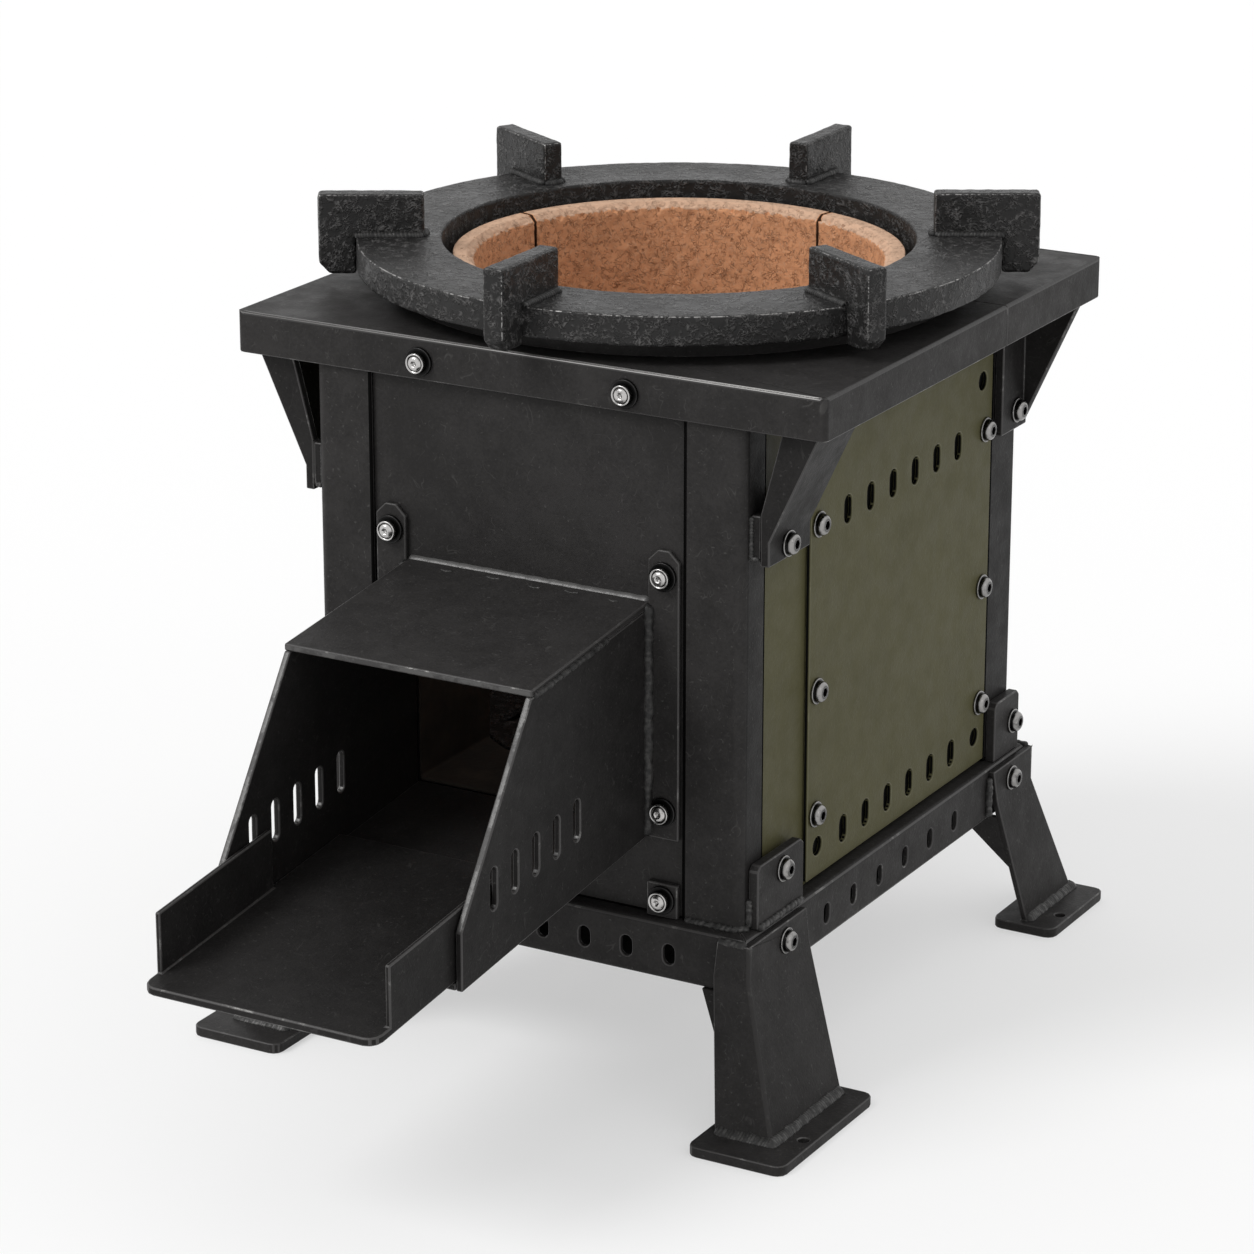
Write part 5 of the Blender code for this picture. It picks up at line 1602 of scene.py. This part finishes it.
@dataclass
class FeedChute:
    """Sloping feed chute with its flange strips, lower clips and loose tray."""

    strip_across: float = 0.1128
    strip_face: float = -0.2247
    strip_bolts: tuple[float, ...] = (0.400, 0.224)
    clip_face: float = -0.2257
    clip_bolt: float = 0.157
    half_width: float = 0.100
    back: float = -0.2207
    sill: float = 0.203
    lintel: float = 0.379
    tilt: float = math.radians(6.0)
    roof_length: float = 0.160
    brow: Point = (0.0, -0.81, 0.58)
    crescents: tuple[Point, ...] = ((-0.062, 0.010, 0.005), (-0.024, 0.008, 0.006), (0.012, 0.011, 0.005),
                                    (0.041, 0.008, 0.006), (0.076, 0.010, 0.004))

    def build(self) -> None:
        """Builds the chute's plates, its tray, bolts and welds."""
        Plate("chute_roof", BLACK, BLACK_EDGE, 0.0011, apart=[(0, -1, 0)]).build()
        # The chute's floor and cheeks take the darker, painted-shade coat.
        Plate("chute_floor", SHADED_BLACK, BLACK_EDGE, 0.0011).build()
        for side, sign in SIDES:
            Plate(f"chute_cheek_{side}", SHADED_BLACK, BLACK_EDGE, 0.0011, apart=[self.brow]).build()
            for node in ("chute_flange", "lower_clip"):
                Plate(f"{node}_{side}", BLACK, BLACK_EDGE, 0.0011).build()
            for row, z in enumerate(self.strip_bolts, 1):
                place = (sign * self.strip_across, self.strip_face, z)
                RimmedBolt(f"flange_bolt_{side}_{row}", place, Facing.FRONT).build()
            place = (sign * self.strip_across, self.clip_face, self.clip_bolt)
            RimmedBolt(f"lower_clip_bolt_{side}", place, Facing.FRONT).build()
            for seam in self.cheek_seams(side, sign):
                seam.build()
        run = [(x, self.back, self.lintel) for x in (-self.half_width, self.half_width)]
        Weld("roof_weld", [run], 0.0034, SMOOTH_WELD, Section.FILLET, ripple=0.02, seed=90).build()
        self.spatter().build()
        # The tray takes the darker, painted-shade coat.
        Plate("feed_tray", SHADED_BLACK, BLACK_EDGE, 0.0012, body=FEED_TRAY).build()

    def roof_height(self, y: float) -> float:
        """Height of the roof's upper face at a place along Y."""
        return self.lintel + (y - self.back) * math.tan(self.tilt)

    def cheek_seams(self, side: str, sign: int) -> tuple[Weld, Weld]:
        """Beads beside one cheek: a coarse one up its back edge, and a fine one under the roof's edge.

        Args:
            side: Name of the side.
            sign: -1 for the left side, 1 for the right.

        Returns:
            The coarse bead and the fine one.
        """
        x = sign * (self.half_width + 0.0008)
        back = [(x, self.strip_face - 0.0008, z) for z in (self.sill, self.lintel)]
        edge = [(x - sign * 0.0012, y, self.roof_height(y) - 0.0052)
                for y in (self.back - 0.060, self.back - self.roof_length)]
        return (Weld(f"cheek_weld_{side}", [back], 0.0042, pitch=0.016, ripple=0.25, seed=80 + sign),
                Weld(f"roof_edge_weld_{side}", [edge], 0.0024, pitch=0.008, ripple=0.30, seed=84 + sign))

    def spatter(self) -> Weld:
        """Small crescents of weld metal on the roof, in front of its weld."""
        runs = []
        for x, away, half in self.crescents:
            runs.append([(x + shift * half, y, self.roof_height(y)) for shift, y in (
                (-1, self.back - away), (0, self.back - away - 0.3 * half), (1, self.back - away))])
        return Weld("roof_spatter", runs, 0.0009, PALE_WELD, ripple=0.1, seed=95)


@dataclass
class Studio:
    """Pale floor, soft light and the camera."""

    camera_place: Point = (1.5682, -2.6924, 1.3779)
    camera_way: Point = (-0.4681, 0.8230, -0.3216)
    lens: float = 129.19
    floor_half: float = 40.0
    floor_colour: Colour = (0.97, 0.97, 0.97)
    glow: float = 0.5
    sky: float = 0.69

    def seen(self, tree: bpy.types.NodeTree) -> Socket:
        """1 for rays from the camera, a reflection or a clear piece, 0 for the rest.

        Args:
            tree: Node tree of the floor or the world.

        Returns:
            The socket with that value.
        """
        rays = tree.nodes.new("ShaderNodeLightPath").outputs
        either = rays["Is Camera Ray"]
        for name in ("Is Glossy Ray", "Is Transmission Ray"):
            node = tree.nodes.new("ShaderNodeMath")
            node.operation = "MAXIMUM"
            tree.links.new(either, node.inputs[0])
            tree.links.new(rays[name], node.inputs[1])
            either = node.outputs[0]
        return either

    def floor(self) -> None:
        """Pale floor on z = 0, a grid of flat places; where it is seen, its shadow is softened."""
        draft = Draft()
        step = np.linspace(-self.floor_half, self.floor_half, 3)
        x, y = np.meshgrid(step, step)
        draft.grid(np.stack((x, y, 0 * x), -1))
        piece = draft.finish("floor")
        sketch = Sketch("pale_floor")
        clouds = sketch.noise(3.0, 2.0)
        seen = self.seen(sketch.tree)
        pale = sketch.mix(clouds, tint(self.floor_colour, 0.99), self.floor_colour)
        sketch.set(Base_Color=sketch.mix(seen, pale, tint(self.floor_colour, 1 - self.glow)),
                   Emission_Color=(1.0, 1.0, 1.0), Emission_Strength=sketch.calc("MULTIPLY", seen, self.glow),
                   Roughness=0.9, Specular_IOR_Level=0.1)
        piece.data.materials.append(sketch.material)

    def world(self) -> None:
        """White sky where it is seen, a softer one for light."""
        world = bpy.data.worlds.new("studio")
        world.use_nodes = True
        tree = world.node_tree
        back = tree.nodes["Background"]
        back.inputs["Color"].default_value = (1, 1, 1, 1)
        level = tree.nodes.new("ShaderNodeMapRange")
        level.inputs["To Min"].default_value = self.sky
        level.inputs["To Max"].default_value = 1.0
        tree.links.new(self.seen(tree), level.inputs["Value"])
        tree.links.new(level.outputs[0], back.inputs["Strength"])
        bpy.context.scene.world = world

    def lamp(self, name: str, way: Point, strength: float, spread: float) -> None:
        """Soft distant lamp.

        Args:
            name: Name of the lamp.
            way: Direction in which its light goes.
            strength: Light on a surface that faces it.
            spread: Angle that the lamp fills, in degrees.
        """
        light = bpy.data.lights.new(name, "SUN")
        light.energy = strength
        light.angle = math.radians(spread)
        lamp = bpy.data.objects.new(name, light)
        lamp.rotation_euler = Vector(way).to_track_quat("-Z", "Y").to_euler()
        bpy.context.scene.collection.objects.link(lamp)

    def camera(self) -> None:
        """Camera at the photograph's viewing angle."""
        lens = bpy.data.cameras.new("camera")
        lens.sensor_width = 36.0
        lens.lens = self.lens
        lens.clip_end = 100.0
        camera = bpy.data.objects.new("camera", lens)
        camera.location = self.camera_place
        camera.rotation_euler = Vector(self.camera_way).to_track_quat("-Z", "Y").to_euler()
        bpy.context.scene.collection.objects.link(camera)
        bpy.context.scene.camera = camera

    def build(self) -> None:
        """Sets up the floor, the light and the camera."""
        self.floor()
        self.world()
        self.lamp("key", (0.50, 0.68, -0.85), 1.40, 24.0)
        self.lamp("fill", (-0.85, 0.25, -0.5), 0.06, 20.0)
        self.camera()
        bpy.context.scene.view_settings.view_transform = "Standard"


def main() -> None:
    """Builds the sub-assemblies and the studio."""
    logging.basicConfig(level=logging.INFO, format="%(name)s %(message)s")
    for assembly in (Studio(), TopPlate(), PotRing(), Riser(), Body(), BaseFrame(), FeedChute()):
        LOG.info("building %s", type(assembly).__name__)
        assembly.build()


if __name__ == "__main__":
    main()
